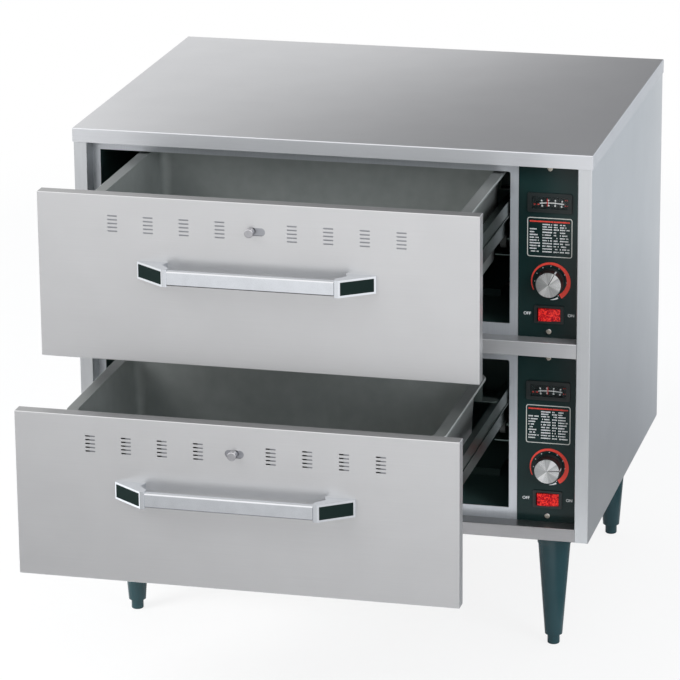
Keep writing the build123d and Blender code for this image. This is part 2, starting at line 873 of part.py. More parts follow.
# ------------------------------------------------------- rails and the rollers
def rail_profile(drawer):
    """Outline of the right rail, seen from the front, folded from one sheet."""
    top = rail_top(drawer)
    outer = rail_outer
    t = rail_sheet
    web = outer - rail_jog
    step = top - rail_face
    foot = top - rail_height
    return Polyline(
        (outer - rail_flange, top),
        (outer, top),
        (outer, step),
        (outer + rail_lip, step),
        (outer + rail_lip, step - t),
        (web, step - t),
        (web, foot),
        (web - rail_foot, foot),
        (web - rail_foot, foot + t),
        (web - t, foot + t),
        (web - t, step),
        (outer - t, step),
        (outer - t, top - t),
        (outer - rail_flange, top - t),
        close=True,
    )


def rail_end(drawer):
    return carriage_front(drawer) + rail_length


def rear_roller_centre(drawer):
    foot_top = rail_top(drawer) - rail_height - runner_room()
    return rail_end(drawer) - roller_tab_length / 2, foot_top + roller_gap + roller_radius


def front_roller_centre(drawer):
    foot = rail_top(drawer) - rail_height
    return front + front_roller_place, foot - roller_gap - roller_radius


def runner_room():
    """Height between the rail's foot and the runner's foot, for the rollers."""
    return 2 * roller_radius + roller_drop


def roller_sides():
    """Inner and outer X of the right roller, under the rail's foot."""
    outer = rail_outer - rail_jog - rail_sheet - roller_gap
    return outer - roller_width, outer


def drawer_rail(drawer):
    """Right rail with its tab and axle for the rear roller."""
    start = facing_front(0, rail_end(drawer), 0)
    rail = extrude(start * make_face(rail_profile(drawer)), rail_length)
    web = rail_outer - rail_jog
    foot = rail_top(drawer) - rail_height
    end = rail_end(drawer)
    start = end - roller_tab_length
    rail += block(web - rail_sheet, web, start, end, foot - roller_tab_drop, foot + rail_sheet)
    y, z = rear_roller_centre(drawer)
    inner, _ = roller_sides()
    return rail + rod_x(axle_radius, inner - axle_end, web, y, z)


def drawer_runner(drawer, wall):
    """Right runner: channel for the rail, with its wall brackets and front axle."""
    web = rail_outer + runner_web_gap
    top = rail_top(drawer) + runner_top_gap
    foot = rail_top(drawer) - rail_height - runner_room()
    near = runner_start
    far = runner_end
    t = rail_sheet
    runner = block(web, web + t, near, far, foot - t, top)
    runner += block(web - runner_hold_down, web + t, near, far, top - t, top)
    runner += block(web - runner_foot, web + t, near, far, foot - t, foot)
    nose = near - runner_nose
    axle_y, axle_z = front_roller_centre(drawer)
    runner += block(web, web + t, nose, near, foot - t, axle_z + roller_radius)
    runner += block(web - runner_foot, web + t, nose, near, foot - t, foot)
    inner, _ = roller_sides()
    runner += rod_x(axle_radius, inner - axle_end, web, axle_y, axle_z)
    level = rail_top(drawer) - bracket_level
    for start in (near + bracket_setback, far - bracket_setback - bracket_strip):
        end = start + bracket_strip
        runner += block(web, wall, start, end, level, level + t)
        runner += block(wall - t, wall, start, end, level, level + bracket_flange)
    return runner


def roller(centre):
    """Nylon roller on its axle."""
    y, z = centre
    inner, outer = roller_sides()
    wheel = rod_x(roller_radius, inner, outer, y, z)
    wheel = fillet(wheel.edges(), roller_round)
    return wheel - rod_x(axle_radius + running_gap, inner, outer, y, z)


def crossbar(drawer):
    """Strap across both rails, with an upstand that carries the pan's rear rim."""
    z = rail_top(drawer)
    near = carriage_front(drawer) + pan_front_gap + pan_width - pan_rim + crossbar_sheet
    half = rail_outer - carriage_x - crossbar_end_gap
    far = near + crossbar_depth
    strap = block(carriage_x - half, carriage_x + half, near, far, z, z + crossbar_sheet)
    strap = fillet(strap.edges().filter_by(Axis.Z), crossbar_end_radius)
    wide = pan_length / 2 - crossbar_margin
    narrow = pan_length / 2 - upstand_margin
    top = pan_ledge_height(drawer)
    bead_foot = top + pan_sheet - pan_bead_height - ledge_bead_gap
    far = near + crossbar_sheet
    upstand = block(carriage_x - wide, carriage_x + wide, near, far, z, bead_foot)
    upstand += block(carriage_x - narrow, carriage_x + narrow, near, far, bead_foot, top)
    far = near + pan_rim / 2
    ledge = block(carriage_x - narrow, carriage_x + narrow, near, far, top - crossbar_sheet, top)
    return strap + upstand + ledge


# ------------------------------------------------------------------ food pans
def food_pan(drawer):
    """Drawn steel pan: tapered walls, a flat rim and a rolled bead round it."""
    rim_top = front_top(drawer) - pan_drop
    x = carriage_x + pan_place[drawer]
    y = carriage_front(drawer) + pan_front_gap + pan_width / 2
    level = Plane(origin=(x, y, rim_top), x_dir=(1, 0, 0), z_dir=(0, 0, 1))
    body_length = pan_length - 2 * pan_rim
    body_width = pan_width - 2 * pan_rim
    inner_length = body_length - 2 * pan_sheet
    inner_width = body_width - 2 * pan_sheet
    corner = pan_corner - pan_rim
    outline = RectangleRounded(body_length, body_width, corner)
    outside = extrude(level * outline, -pan_height, taper=pan_taper)
    outside = fillet(outside.edges().group_by(Axis.Z)[0], pan_floor_round)
    inner_outline = RectangleRounded(inner_length, inner_width, corner - pan_sheet)
    hollow = extrude(level * inner_outline, pan_sheet - pan_height, taper=pan_taper)
    hollow = fillet(hollow.edges().group_by(Axis.Z)[0], pan_floor_round - pan_sheet)
    rim = extrude(level * RectangleRounded(pan_length, pan_width, pan_corner), -pan_sheet)
    bead = extrude(level * RectangleRounded(pan_length, pan_width, pan_corner), -pan_bead_height)
    bead = fillet(bead.edges().group_by(Axis.Z)[0] + bead.edges().group_by(Axis.Z)[-1], pan_bead_round)
    inside_length = pan_length - 2 * pan_bead
    inside_width = pan_width - 2 * pan_bead
    inside = RectangleRounded(inside_length, inside_width, pan_corner - pan_bead)
    bead -= extrude(level.offset(-pan_sheet) * inside, -pan_bead_height)
    flat = rim & bead
    return outside + bead + flat - hollow


# -------------------------------------------------------------- legs and feet
def leg(x, y):
    """Tapered leg with a collar, a stud into the cabinet's floor and a bore below."""
    shoulder = cabinet_bottom - leg_collar
    body = rod_z(leg_top_radius, x, y, shoulder, cabinet_bottom)
    height = shoulder - foot_height
    cone = Cone(leg_bottom_radius, leg_shoulder_radius, height)
    body += Pos(x, y, foot_height + height / 2) * cone
    body += rod_z(leg_stud_radius, x, y, cabinet_bottom, cabinet_bottom + leg_stud_height)
    bore = foot_stud_radius + foot_bore_gap
    return body - rod_z(bore, x, y, foot_height, foot_height + foot_bore_depth)


def foot(x, y):
    """Levelling foot, screwed right in."""
    pad = rod_z(foot_radius, x, y, 0, foot_height)
    pad = fillet(pad.edges().sort_by(Axis.Z)[0], foot_round)
    return pad + rod_z(foot_stud_radius, x, y, foot_height, foot_height + foot_stud_length)


# ---------------------------------------------------------------------- files
os.makedirs("parts", exist_ok=True)

right_wall = right_side_panel()
save("top_cover", top_cover())
save("right_side_panel", right_wall)
save("left_side_panel", mirrored(right_wall, 0))
save("back_panel", back_panel())
save("bottom_panel", bottom_panel())
save("middle_rail", middle_rail())
save("control_bay_wall", control_bay_wall())
save("cord_bushing", cord_bushing())
save("face_frames", *[face_frame(drawer) for drawer in drawers])
save("control_panels", *[control_panel(drawer) for drawer in drawers])
save("panel_screws", *[panel_screw(drawer, h) for drawer in drawers for h in (screw_low, screw_high)])
save("thermometer_cases", *[thermometer_case(drawer) for drawer in drawers])
save("thermostat_bodies", *[thermostat_body(drawer) for drawer in drawers])
save("switch_housings", *[switch_housing(drawer) for drawer in drawers])
save("heating_elements", *[heating_element(drawer) for drawer in drawers])
save("element_covers", *[element_cover(drawer) for drawer in drawers])

left_wall_x = 2 * carriage_x - liner_left
save("right_runners", *[drawer_runner(drawer, liner_right) for drawer in drawers])
save("left_runners", *[mirrored(drawer_runner(drawer, left_wall_x), carriage_x) for drawer in drawers])

save("legs", *[leg(x, y) for x, y in leg_places().values()])
for corner, (x, y) in leg_places().items():
    save(f"{corner}_foot", foot(x, y))

for drawer in drawers:
    rail = drawer_rail(drawer)
    bracket = handle_bracket(drawer)
    insert = handle_insert(drawer)
    rear_wheel = roller(rear_roller_centre(drawer))
    front_wheel = roller(front_roller_centre(drawer))
    save(f"{drawer}_cavity_liner", cavity_liner(drawer))
    save(f"{drawer}_thermometer_needle", thermometer_needle(drawer))
    save(f"{drawer}_thermostat_shaft", thermostat_shaft(drawer))
    save(f"{drawer}_thermostat_knob", thermostat_knob(drawer))
    save(f"{drawer}_knob_cap", knob_cap(drawer))
    save(f"{drawer}_switch_rocker", switch_rocker(drawer))
    save(f"{drawer}_drawer_front", drawer_front(drawer))
    save(f"{drawer}_inner_panel", inner_panel(drawer))
    save(f"{drawer}_vent_slider", vent_slider(drawer))
    save(f"{drawer}_vent_knob", vent_knob(drawer))
    save(f"{drawer}_handle_bar", handle_bar(drawer))
    save(f"{drawer}_handle_brackets", bracket, mirrored(bracket, front_x))
    save(f"{drawer}_handle_inserts", insert, mirrored(insert, front_x))
    save(f"{drawer}_drawer_rails", rail, mirrored(rail, carriage_x))
    save(f"{drawer}_crossbar", crossbar(drawer))
    save(f"{drawer}_pan", food_pan(drawer))
    save(f"{drawer}_rear_rollers", rear_wheel, mirrored(rear_wheel, carriage_x))
    save(f"{drawer}_front_rollers", front_wheel, mirrored(front_wheel, carriage_x))
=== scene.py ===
import math
import bmesh
import bpy
from mathutils import Matrix, Vector


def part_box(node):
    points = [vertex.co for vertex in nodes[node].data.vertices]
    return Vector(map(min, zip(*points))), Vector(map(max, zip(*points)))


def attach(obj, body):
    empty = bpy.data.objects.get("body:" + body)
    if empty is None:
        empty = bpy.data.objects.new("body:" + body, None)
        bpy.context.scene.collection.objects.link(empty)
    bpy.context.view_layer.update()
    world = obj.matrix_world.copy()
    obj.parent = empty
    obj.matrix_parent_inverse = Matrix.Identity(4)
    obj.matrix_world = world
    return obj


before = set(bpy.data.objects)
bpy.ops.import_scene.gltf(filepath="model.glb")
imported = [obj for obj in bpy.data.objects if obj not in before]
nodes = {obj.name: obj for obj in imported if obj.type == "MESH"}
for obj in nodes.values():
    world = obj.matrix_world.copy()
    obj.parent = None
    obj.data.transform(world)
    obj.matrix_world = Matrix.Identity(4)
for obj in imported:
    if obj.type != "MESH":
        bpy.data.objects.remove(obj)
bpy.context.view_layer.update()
drawers = ("upper", "lower")

# ------------------------------------------------------------------ cabinet shell
# Folded stainless sheet: a lid with a turned-down skirt, two side panels whose front
# edges turn in as stiles, a bottom, a middle rail and a flat frame round each opening,
# all spot-welded, and a back held by screws. No flat face is quite flat.


def add(tree, kind, values=None, **settings):
    """Adds a shader or geometry node. values gives sockets a number or another node's output."""
    made = tree.nodes.new(kind)
    for name, value in settings.items():
        setattr(made, name, value)
    for key, value in (values or {}).items():
        if isinstance(value, bpy.types.NodeSocket):
            tree.links.new(value, made.inputs[key])
        else:
            made.inputs[key].default_value = value
    return made


def blank_finish(name):
    """A new material with its tree and its one surface shader."""
    material = bpy.data.materials.new(name)
    material.use_nodes = True
    tree = material.node_tree
    return material, tree, tree.nodes["Principled BSDF"]


def tone_between(tree, amount, dark, light, low=0.3, high=0.7):
    """A colour that goes from dark to light as the amount goes from low to high."""
    ramp = add(tree, "ShaderNodeValToRGB", {"Fac": amount})
    ramp.color_ramp.elements[0].position = low
    ramp.color_ramp.elements[0].color = (*dark, 1)
    ramp.color_ramp.elements[1].position = high
    ramp.color_ramp.elements[1].color = (*light, 1)
    return ramp.outputs["Color"]


def between(tree, amount, low, high):
    """A number that goes from low to high as the amount goes from 0 to 1."""
    made = add(tree, "ShaderNodeMapRange", {"Value": amount, "To Min": low, "To Max": high})
    return made.outputs["Result"]


def noise(tree, place, scale, detail):
    """An uneven number from place to place, mostly between 0.3 and 0.7."""
    values = {"Vector": place, "Scale": scale, "Detail": detail}
    return add(tree, "ShaderNodeTexNoise", values).outputs["Fac"]


def maths(tree, operation, first, second):
    """One step of arithmetic on two numbers or outputs."""
    return add(tree, "ShaderNodeMath", {0: first, 1: second}, operation=operation).outputs[0]


def mixed(tree, share, under, over):
    """The colour under, with a share of the colour over."""
    return add(tree, "ShaderNodeMix", {0: share, 6: under, 7: over}, data_type="RGBA").outputs[2]


def peak(tree, amount, *stops):
    """A number that follows the given (place, height) stops, for picking out a range."""
    ramp = add(tree, "ShaderNodeValToRGB", {"Fac": amount})
    marks = ramp.color_ramp.elements
    while len(marks) < len(stops):
        marks.new(0.5)
    for mark, (place, height) in zip(marks, stops):
        mark.position = place
        mark.color = (height, height, height, 1)
    return ramp.outputs["Color"]


mm = 0.001
finest_relief = 0.01 * mm


def sheet_steel(name, dark, light, grain, rough=(0.27, 0.33), wave=0.8 * mm,
                metal=1.0, painted_top_tone=1.0, painted_bend_light=1.35, top_metal=None):
    """Rolled sheet: fine lines along the grain, a cloudy tone, and a painted highlight on bends.

    Faces that look up take their own share of the tone, as painted light or shade standing for
    what they reflect, and bends below them take another, as a painted highlight; both beside the
    flat sheet's. top_metal is how metallic the faces that look up are."""
    material, tree, shader = blank_finish(name)
    place = add(tree, "ShaderNodeTexCoord").outputs["Object"]
    along = add(tree, "ShaderNodeMapping", {"Vector": place, "Scale": grain}).outputs["Vector"]
    lines = noise(tree, along, 1.0, 3.0)
    cloud = noise(tree, place, 14.0, 4.0)
    both = maths(tree, "ADD", lines, cloud)
    half = maths(tree, "MULTIPLY", both, 0.5)
    facing = add(tree, "ShaderNodeNewGeometry").outputs["Normal"]
    upward = add(tree, "ShaderNodeSeparateXYZ", {"Vector": facing}).outputs["Z"]
    flat = tone_between(tree, half, dark, light)
    # Painted highlight: bends that face partly up are made lighter than the flat sheet.
    bend_highlight_tone = tuple(min(0.95, painted_bend_light * part) for part in light)
    on_bend_highlight = peak(tree, upward, (0.12, 0), (0.3, 1), (0.85, 1), (0.93, 0))
    on_hem = peak(tree, upward, (0.93, 0), (0.98, 1))
    colour = mixed(tree, on_bend_highlight, flat, (*bend_highlight_tone, 1))
    # Painted light or shade: faces that look up get a lighter or darker tone, standing for what they
    # reflect.
    if painted_top_tone != 1.0:
        painted_top_shading = tone_between(
            tree, half, [painted_top_tone * part for part in dark], [painted_top_tone * part for part in light])
        colour = mixed(tree, on_hem, colour, painted_top_shading)
    tree.links.new(colour, shader.inputs["Base Color"])
    tree.links.new(between(tree, lines, *rough), shader.inputs["Roughness"])
    shader.inputs["Metallic"].default_value = metal
    if top_metal is not None:
        tree.links.new(between(tree, on_hem, metal, top_metal), shader.inputs["Metallic"])
    swell = noise(tree, place, 2.2, 0.0)
    slow = add(tree, "ShaderNodeBump", {
        "Height": swell, "Strength": 1.0, "Distance": wave,
    }).outputs[0]
    fine = add(tree, "ShaderNodeBump", {
        "Height": lines, "Strength": 0.4, "Distance": finest_relief, "Normal": slow,
    })
    tree.links.new(fine.outputs[0], shader.inputs["Normal"])
    return material


def dress(material, *names):
    """Gives CAD nodes one material in all their slots."""
    for name in names:
        for place in nodes[name].material_slots:
            place.material = material


grain_across = (9, 1500, 1500)
grain_to_back = (1500, 9, 1500)
grain_upright = (1500, 1500, 9)
# Painted light: the lid's top is a little lighter than its skirt, and its bends carry a painted
# highlight.
lid_steel = sheet_steel(
    "lid_steel", (0.525, 0.53, 0.545), (0.57, 0.575, 0.59), grain_across, (0.26, 0.32),
    metal=0.5, painted_top_tone=1.085, painted_bend_light=1.15, top_metal=0.9)
side_steel = sheet_steel(
    "side_steel", (0.60, 0.615, 0.63), (0.66, 0.675, 0.69), grain_upright, metal=0.85)
rail_face_steel = sheet_steel(
    "rail_face_steel", (0.49, 0.485, 0.49), (0.57, 0.565, 0.57), grain_across, metal=0.5)
bottom_steel = sheet_steel(
    "bottom_steel", (0.35, 0.345, 0.35), (0.41, 0.405, 0.41), grain_across, metal=0.9)
frame_steel = sheet_steel(
    "frame_steel", (0.56, 0.58, 0.61), (0.66, 0.68, 0.71), grain_upright, metal=0.6)
dress(lid_steel, "top_cover", "back_panel")
dress(side_steel, "left_side_panel", "right_side_panel")
dress(rail_face_steel, "middle_rail")
dress(bottom_steel, "bottom_panel")
dress(frame_steel, "face_frames")

# ------------------------------------------------------------- heated cavities
# Liners, the element covers and the wall of the control bay: folded, spot-welded sheet, coloured
# near black as painted shade for the dark inside of the cavities. The element is a sheathed rod
# under its cover.


def satin_coat(name, dark, light, rough, grain_size=900.0, depth=0.02 * mm, gloss=0.5):
    """Baked enamel or moulded plastic: a fine even texture with a cloudy tone."""
    material, tree, shader = blank_finish(name)
    place = add(tree, "ShaderNodeTexCoord").outputs["Object"]
    cloud = noise(tree, place, 9.0, 3.0)
    speck = noise(tree, place, grain_size, 1.0)
    tree.links.new(tone_between(tree, cloud, dark, light), shader.inputs["Base Color"])
    tree.links.new(between(tree, cloud, *rough), shader.inputs["Roughness"])
    shader.inputs["Specular IOR Level"].default_value = gloss
    bump = add(tree, "ShaderNodeBump", {"Height": speck, "Strength": 1.0, "Distance": depth})
    tree.links.new(bump.outputs[0], shader.inputs["Normal"])
    return material


# Painted shade: the liner and the element covers are near black for the dark inside the cavities.
liner_painted_shade = satin_coat(
    "liner_painted_shade", (0.040, 0.080, 0.074), (0.060, 0.108, 0.100), (0.32, 0.45))
cover_painted_shade = satin_coat(
    "cover_painted_shade", (0.030, 0.060, 0.055), (0.045, 0.080, 0.072), (0.35, 0.5))
element_sheath = satin_coat(
    "element_sheath", (0.03, 0.028, 0.026), (0.07, 0.06, 0.05), (0.45, 0.6))
dress(liner_painted_shade, "upper_cavity_liner", "lower_cavity_liner", "control_bay_wall")
dress(cover_painted_shade, "element_covers")
dress(element_sheath, "heating_elements")

# ------------------------------------------------------------ rails and runners
# Rails folded from plated sheet carry each drawer. They run on black nylon rollers, in
# runners that are riveted to the liner's walls.

# Painted shade: runners and drawer rails keep the green-grey of plated steel but are darker, for the
# shade they sit in; the rails' bends carry a strong painted highlight.
runner_steel_painted_shade = sheet_steel(
    "runner_steel_painted_shade", (0.10, 0.145, 0.135), (0.16, 0.205, 0.195), grain_to_back, (0.3, 0.45))
drawer_rail_painted_shade = sheet_steel(
    "drawer_rail_painted_shade", (0.045, 0.072, 0.066), (0.075, 0.105, 0.098), grain_to_back, painted_bend_light=4.0)
strap_steel = sheet_steel(
    "strap_steel", (0.13, 0.16, 0.15), (0.20, 0.23, 0.22), grain_across, metal=0.85)
nylon = satin_coat("nylon", (0.012, 0.014, 0.013), (0.022, 0.024, 0.022), (0.4, 0.5), 300.0)
dress(runner_steel_painted_shade, "left_runners", "right_runners")
for drawer in drawers:
    dress(drawer_rail_painted_shade, f"{drawer}_drawer_rails")
    dress(strap_steel, f"{drawer}_crossbar")
    dress(nylon, f"{drawer}_rear_rollers", f"{drawer}_front_rollers")

# ------------------------------------------------------------------ drawer fronts
# A folded stainless skin with slots for the vents, closed from behind by an inner
# panel. A strip slides behind the slots, moved by a small turned knob.

# Painted reflection: the top hem of each front is much darker, standing for the dark cabinet it
# reflects; bends carry a painted highlight.
front_steel = sheet_steel(
    "front_steel", (0.61, 0.61, 0.615), (0.65, 0.65, 0.655), grain_across, (0.3, 0.36),
    metal=0.85, painted_top_tone=0.54, painted_bend_light=1.2)
inner_steel = sheet_steel("inner_steel", (0.36, 0.37, 0.38), (0.46, 0.47, 0.48), grain_across)
slider_steel = sheet_steel("slider_steel", (0.34, 0.35, 0.38), (0.44, 0.45, 0.48), grain_across)
turned_grain = (300, 20, 300)
vent_knob_steel = sheet_steel(
    "vent_knob_steel", (0.42, 0.42, 0.44), (0.58, 0.58, 0.60), turned_grain)
for drawer in drawers:
    dress(front_steel, f"{drawer}_drawer_front")
    dress(inner_steel, f"{drawer}_inner_panel")
    dress(slider_steel, f"{drawer}_vent_slider")
    dress(vent_knob_steel, f"{drawer}_vent_knob")

# ------------------------------------------------------------------------ handles
# Two chromed wedges carry a flat-faced chromed bar. A matt black insert is glued into
# the sloped face of each wedge.


def chrome_plate(name, colour, rough):
    """Polished plating with the faint swirl that wiping leaves, with a painted highlight on its
    upper edges and painted shade on the faces that look down."""
    material, tree, shader = blank_finish(name)
    place = add(tree, "ShaderNodeTexCoord").outputs["Object"]
    swirl = noise(tree, place, 60.0, 4.0)
    facing = add(tree, "ShaderNodeNewGeometry").outputs["Normal"]
    upward = add(tree, "ShaderNodeSeparateXYZ", {"Vector": facing}).outputs["Z"]
    darker = tuple(0.94 * part for part in colour)
    painted_underside_shade = tuple(0.3 * part for part in colour)
    plated = tone_between(tree, swirl, darker, colour)
    # Painted highlight on edges that face partly up; painted shade on faces that look down.
    edge_highlight_mask = peak(tree, upward, (0.2, 0), (0.4, 1), (0.85, 1), (0.95, 0))
    with_edge_highlight = mixed(tree, edge_highlight_mask, plated, (0.92, 0.93, 0.95, 1))
    below = maths(tree, "MULTIPLY", upward, -1.0)
    under = peak(tree, below, (0.1, 0), (0.4, 1))
    tree.links.new(mixed(tree, under, with_edge_highlight, (*painted_underside_shade, 1)), shader.inputs["Base Color"])
    tree.links.new(between(tree, swirl, *rough), shader.inputs["Roughness"])
    shader.inputs["Metallic"].default_value = 1.0
    return material


chrome = chrome_plate("handle_chrome", (0.80, 0.83, 0.87), (0.08, 0.14))
insert_black = satin_coat(
    "insert_black", (0.003, 0.011, 0.010), (0.005, 0.015, 0.013), (0.45, 0.55), gloss=0.12)
for drawer in drawers:
    dress(chrome, f"{drawer}_handle_bar", f"{drawer}_handle_brackets")
    dress(insert_black, f"{drawer}_handle_inserts")

# ----------------------------------------------------------------------- food pans
# Deep-drawn stainless pans with a flat rim and a rolled bead, duller than the sheet of
# the cabinet and softer in grain.

drawn_grain = (60, 60, 60)
# Painted shade: the pan's rim, which looks up, is much darker than its walls; bends carry a painted
# highlight.
pan_steel = sheet_steel(
    "pan_steel", (0.38, 0.405, 0.395), (0.47, 0.495, 0.485), drawn_grain, (0.34, 0.42),
    metal=0.72, painted_top_tone=0.52, painted_bend_light=1.1)
for drawer in drawers:
    dress(pan_steel, f"{drawer}_pan")

# ------------------------------------------------------------------ control panels
# Sheet in dark gloss enamel, screwed in beside each cavity. Everything on it is
# printed in white, grey and red ink, a tenth of a millimetre thick.

panel_enamel = satin_coat(
    "panel_enamel", (0.005, 0.018, 0.017), (0.007, 0.024, 0.023), (0.16, 0.24), 400.0,
    finest_relief, gloss=0.3)
screw_steel = chrome_plate("screw_steel", (0.60, 0.57, 0.50), (0.18, 0.3))
dress(panel_enamel, "control_panels")
dress(screw_steel, "panel_screws")

ink_thickness = 0.1 * mm
panel_low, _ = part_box("control_panels")
panel_face = panel_low.y
case_low, case_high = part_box("thermometer_cases")
column_x = (case_low.x + case_high.x) / 2


def ink(name, colour, rough=0.5):
    """Printing ink, thinner in places."""
    material, tree, shader = blank_finish(name)
    place = add(tree, "ShaderNodeTexCoord").outputs["Object"]
    wear = noise(tree, place, 1500.0, 2.0)
    thin = tuple(0.82 * part for part in colour)
    tree.links.new(tone_between(tree, wear, thin, colour), shader.inputs["Base Color"])
    shader.inputs["Roughness"].default_value = rough
    shader.inputs["Specular IOR Level"].default_value = 0.2
    return material


white_ink = ink("white_ink", (0.92, 0.93, 0.92))
grey_ink = ink("grey_ink", (0.66, 0.66, 0.62))
red_ink = ink("red_ink", (0.93, 0.075, 0.050))


def piece_from_mesh(name, mesh, material, body):
    """A finished piece at the origin, in one material, that rides on a body."""
    mesh.name = name
    mesh.materials.clear()
    mesh.materials.append(material)
    made = bpy.data.objects.new(name, mesh)
    bpy.context.scene.collection.objects.link(made)
    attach(made, body)
    return made


def facing_front(x, y, z):
    """Puts a flat drawing on the panel: its x runs right, its y runs up, its z faces the user."""
    return Matrix.Translation((x, y, z)) @ Matrix.Rotation(math.pi / 2, 4, "X")


def printed_band(points_out, points_in, closed):
    """A flat band of ink between two outlines with as many points each."""
    drawing = bmesh.new()
    outer = [drawing.verts.new((x, y, ink_thickness)) for x, y in points_out]
    inner = [drawing.verts.new((x, y, ink_thickness)) for x, y in points_in]
    last = len(outer) if closed else len(outer) - 1
    for index in range(last):
        after = (index + 1) % len(outer)
        drawing.faces.new((outer[index], outer[after], inner[after], inner[index]))
    bmesh.ops.recalc_face_normals(drawing, faces=drawing.faces)
    if drawing.faces[:][0].normal.z < 0:
        bmesh.ops.reverse_faces(drawing, faces=drawing.faces)
    thick = bmesh.ops.extrude_face_region(drawing, geom=drawing.faces[:])
    moved = [part for part in thick["geom"] if isinstance(part, bmesh.types.BMVert)]
    bmesh.ops.translate(drawing, verts=moved, vec=(0, 0, ink_thickness))
    bmesh.ops.recalc_face_normals(drawing, faces=drawing.faces)
    mesh = bpy.data.meshes.new("band")
    drawing.to_mesh(mesh)
    drawing.free()
    return mesh


def rounded_outline(width, height, radius, steps=8):
    """Points round a rectangle with rounded corners."""
    points = []
    corners = ((1, 1, 0), (-1, 1, 90), (-1, -1, 180), (1, -1, 270))
    for side_x, side_y, start in corners:
        centre_x = side_x * (width / 2 - radius)
        centre_y = side_y * (height / 2 - radius)
        for step in range(steps + 1):
            angle = math.radians(start + 90 * step / steps)
            points.append((centre_x + radius * math.cos(angle), centre_y + radius * math.sin(angle)))
    return points


def growing_arc(radius, start, end, first_width, last_width, steps):
    """Outer and inner points of an arc that widens clockwise from the start, in degrees from up."""
    outer = []
    inner = []
    for step in range(steps + 1):
        share = step / steps
        angle = math.radians(start + (end - start) * share)
        width = first_width + (last_width - first_width) * share
        outer.append((radius * math.sin(angle), radius * math.cos(angle)))
        inner.append(((radius - width) * math.sin(angle), (radius - width) * math.cos(angle)))
    return outer, inner


def new_tree(name, sizes):
    """A geometry tree with a named input for each size, their outputs and the node to end at."""
    tree = bpy.data.node_groups.new(name, "GeometryNodeTree")
    tree.interface.new_socket("Geometry", in_out="OUTPUT", socket_type="NodeSocketGeometry")
    for size_name, kind in sizes.items():
        tree.interface.new_socket(size_name, in_out="INPUT", socket_type=kind)
    return tree, tree.nodes.new("NodeGroupInput").outputs, tree.nodes.new("NodeGroupOutput")


def finish_tree(tree, end, geometry):
    """Makes the copies real, gives them the tree's material and ends the tree."""
    real = add(tree, "GeometryNodeRealizeInstances", {"Geometry": geometry})
    coated = add(tree, "GeometryNodeSetMaterial", {
        "Geometry": real.outputs[0], "Material": tree.nodes["Group Input"].outputs["Material"],
    })
    tree.links.new(coated.outputs[0], end.inputs[0])


def grown(tree, values):
    """The plain mesh that a geometry tree makes with these values."""
    seed = bpy.data.objects.new("seed", bpy.data.meshes.new("seed"))
    bpy.context.scene.collection.objects.link(seed)
    modifier = seed.modifiers.new("grow", "NODES")
    modifier.node_group = tree
    for item in tree.interface.items_tree:
        if item.in_out == "INPUT":
            modifier[item.identifier] = values[item.name]
    shown = seed.evaluated_get(bpy.context.evaluated_depsgraph_get())
    mesh = bpy.data.meshes.new_from_object(shown)
    seed.modifiers.clear()
    bpy.data.objects.remove(seed)
    return mesh


length_socket = "NodeSocketFloat"
count_socket = "NodeSocketInt"
material_socket = "NodeSocketMaterial"
arc_marks, given, end = new_tree("marks_on_arc", {
    "Radius": length_socket, "Start": length_socket, "Sweep": length_socket, "Count": count_socket,
    "Mark Width": length_socket, "Mark Height": length_socket, "Material": material_socket,
})
arc = add(arc_marks, "GeometryNodeCurveArc", {
    "Radius": given["Radius"], "Start Angle": given["Start"], "Sweep Angle": given["Sweep"],
})
spaced = add(arc_marks, "GeometryNodeResampleCurve", {
    "Curve": arc.outputs[0], "Count": given["Count"],
})
mark_size = add(arc_marks, "ShaderNodeCombineXYZ", {
    0: given["Mark Width"], 1: given["Mark Height"], 2: ink_thickness,
}).outputs[0]
mark = add(arc_marks, "GeometryNodeMeshCylinder", {"Vertices": 10, "Radius": 0.5, "Depth": 1.0})
placed = add(arc_marks, "GeometryNodeInstanceOnPoints", {
    "Points": spaced.outputs[0], "Instance": mark.outputs[0], "Scale": mark_size,
})
finish_tree(arc_marks, end, placed.outputs[0])

word_rows, given, end = new_tree("rows_of_marks", {
    "Width": length_socket, "Height": length_socket, "Across": count_socket, "Down": count_socket,
    "Mark Width": length_socket, "Mark Height": length_socket, "Gaps": length_socket,
    "Shortest": length_socket, "Seed": count_socket, "Material": material_socket,
})
grid = add(word_rows, "GeometryNodeMeshGrid", {
    "Size X": given["Width"], "Size Y": given["Height"], "Vertices X": given["Across"],
    "Vertices Y": given["Down"],
})
gaps = add(word_rows, "FunctionNodeRandomValue", {
    "Probability": given["Gaps"], "Seed": given["Seed"],
}, data_type="BOOLEAN")
index = add(word_rows, "GeometryNodeInputIndex").outputs[0]
row = maths(word_rows, "MODULO", index, given["Down"])
along_row = maths(word_rows, "DIVIDE", index, given["Down"])
share = maths(word_rows, "DIVIDE", along_row, given["Across"])
longest = 1.05
reach = add(word_rows, "FunctionNodeRandomValue", {
    2: given["Shortest"], 3: longest, "ID": row, "Seed": given["Seed"],
}, data_type="FLOAT").outputs[1]
past = maths(word_rows, "GREATER_THAN", share, reach)
cut = maths(word_rows, "MAXIMUM", past, gaps.outputs[3])
kept = add(word_rows, "GeometryNodeDeleteGeometry", {
    "Geometry": grid.outputs[0], "Selection": cut,
}, domain="POINT", mode="ALL")
lowest = 0.7
tall = add(word_rows, "FunctionNodeRandomValue", {
    2: lowest, 3: 1.0, "Seed": given["Seed"],
}, data_type="FLOAT")
mark_tall = maths(word_rows, "MULTIPLY", given["Mark Height"], tall.outputs[1])
mark_size = add(word_rows, "ShaderNodeCombineXYZ", {
    0: given["Mark Width"], 1: mark_tall, 2: ink_thickness,
}).outputs[0]
mark = add(word_rows, "GeometryNodeMeshCube", {"Size": (1.0, 1.0, 1.0)})
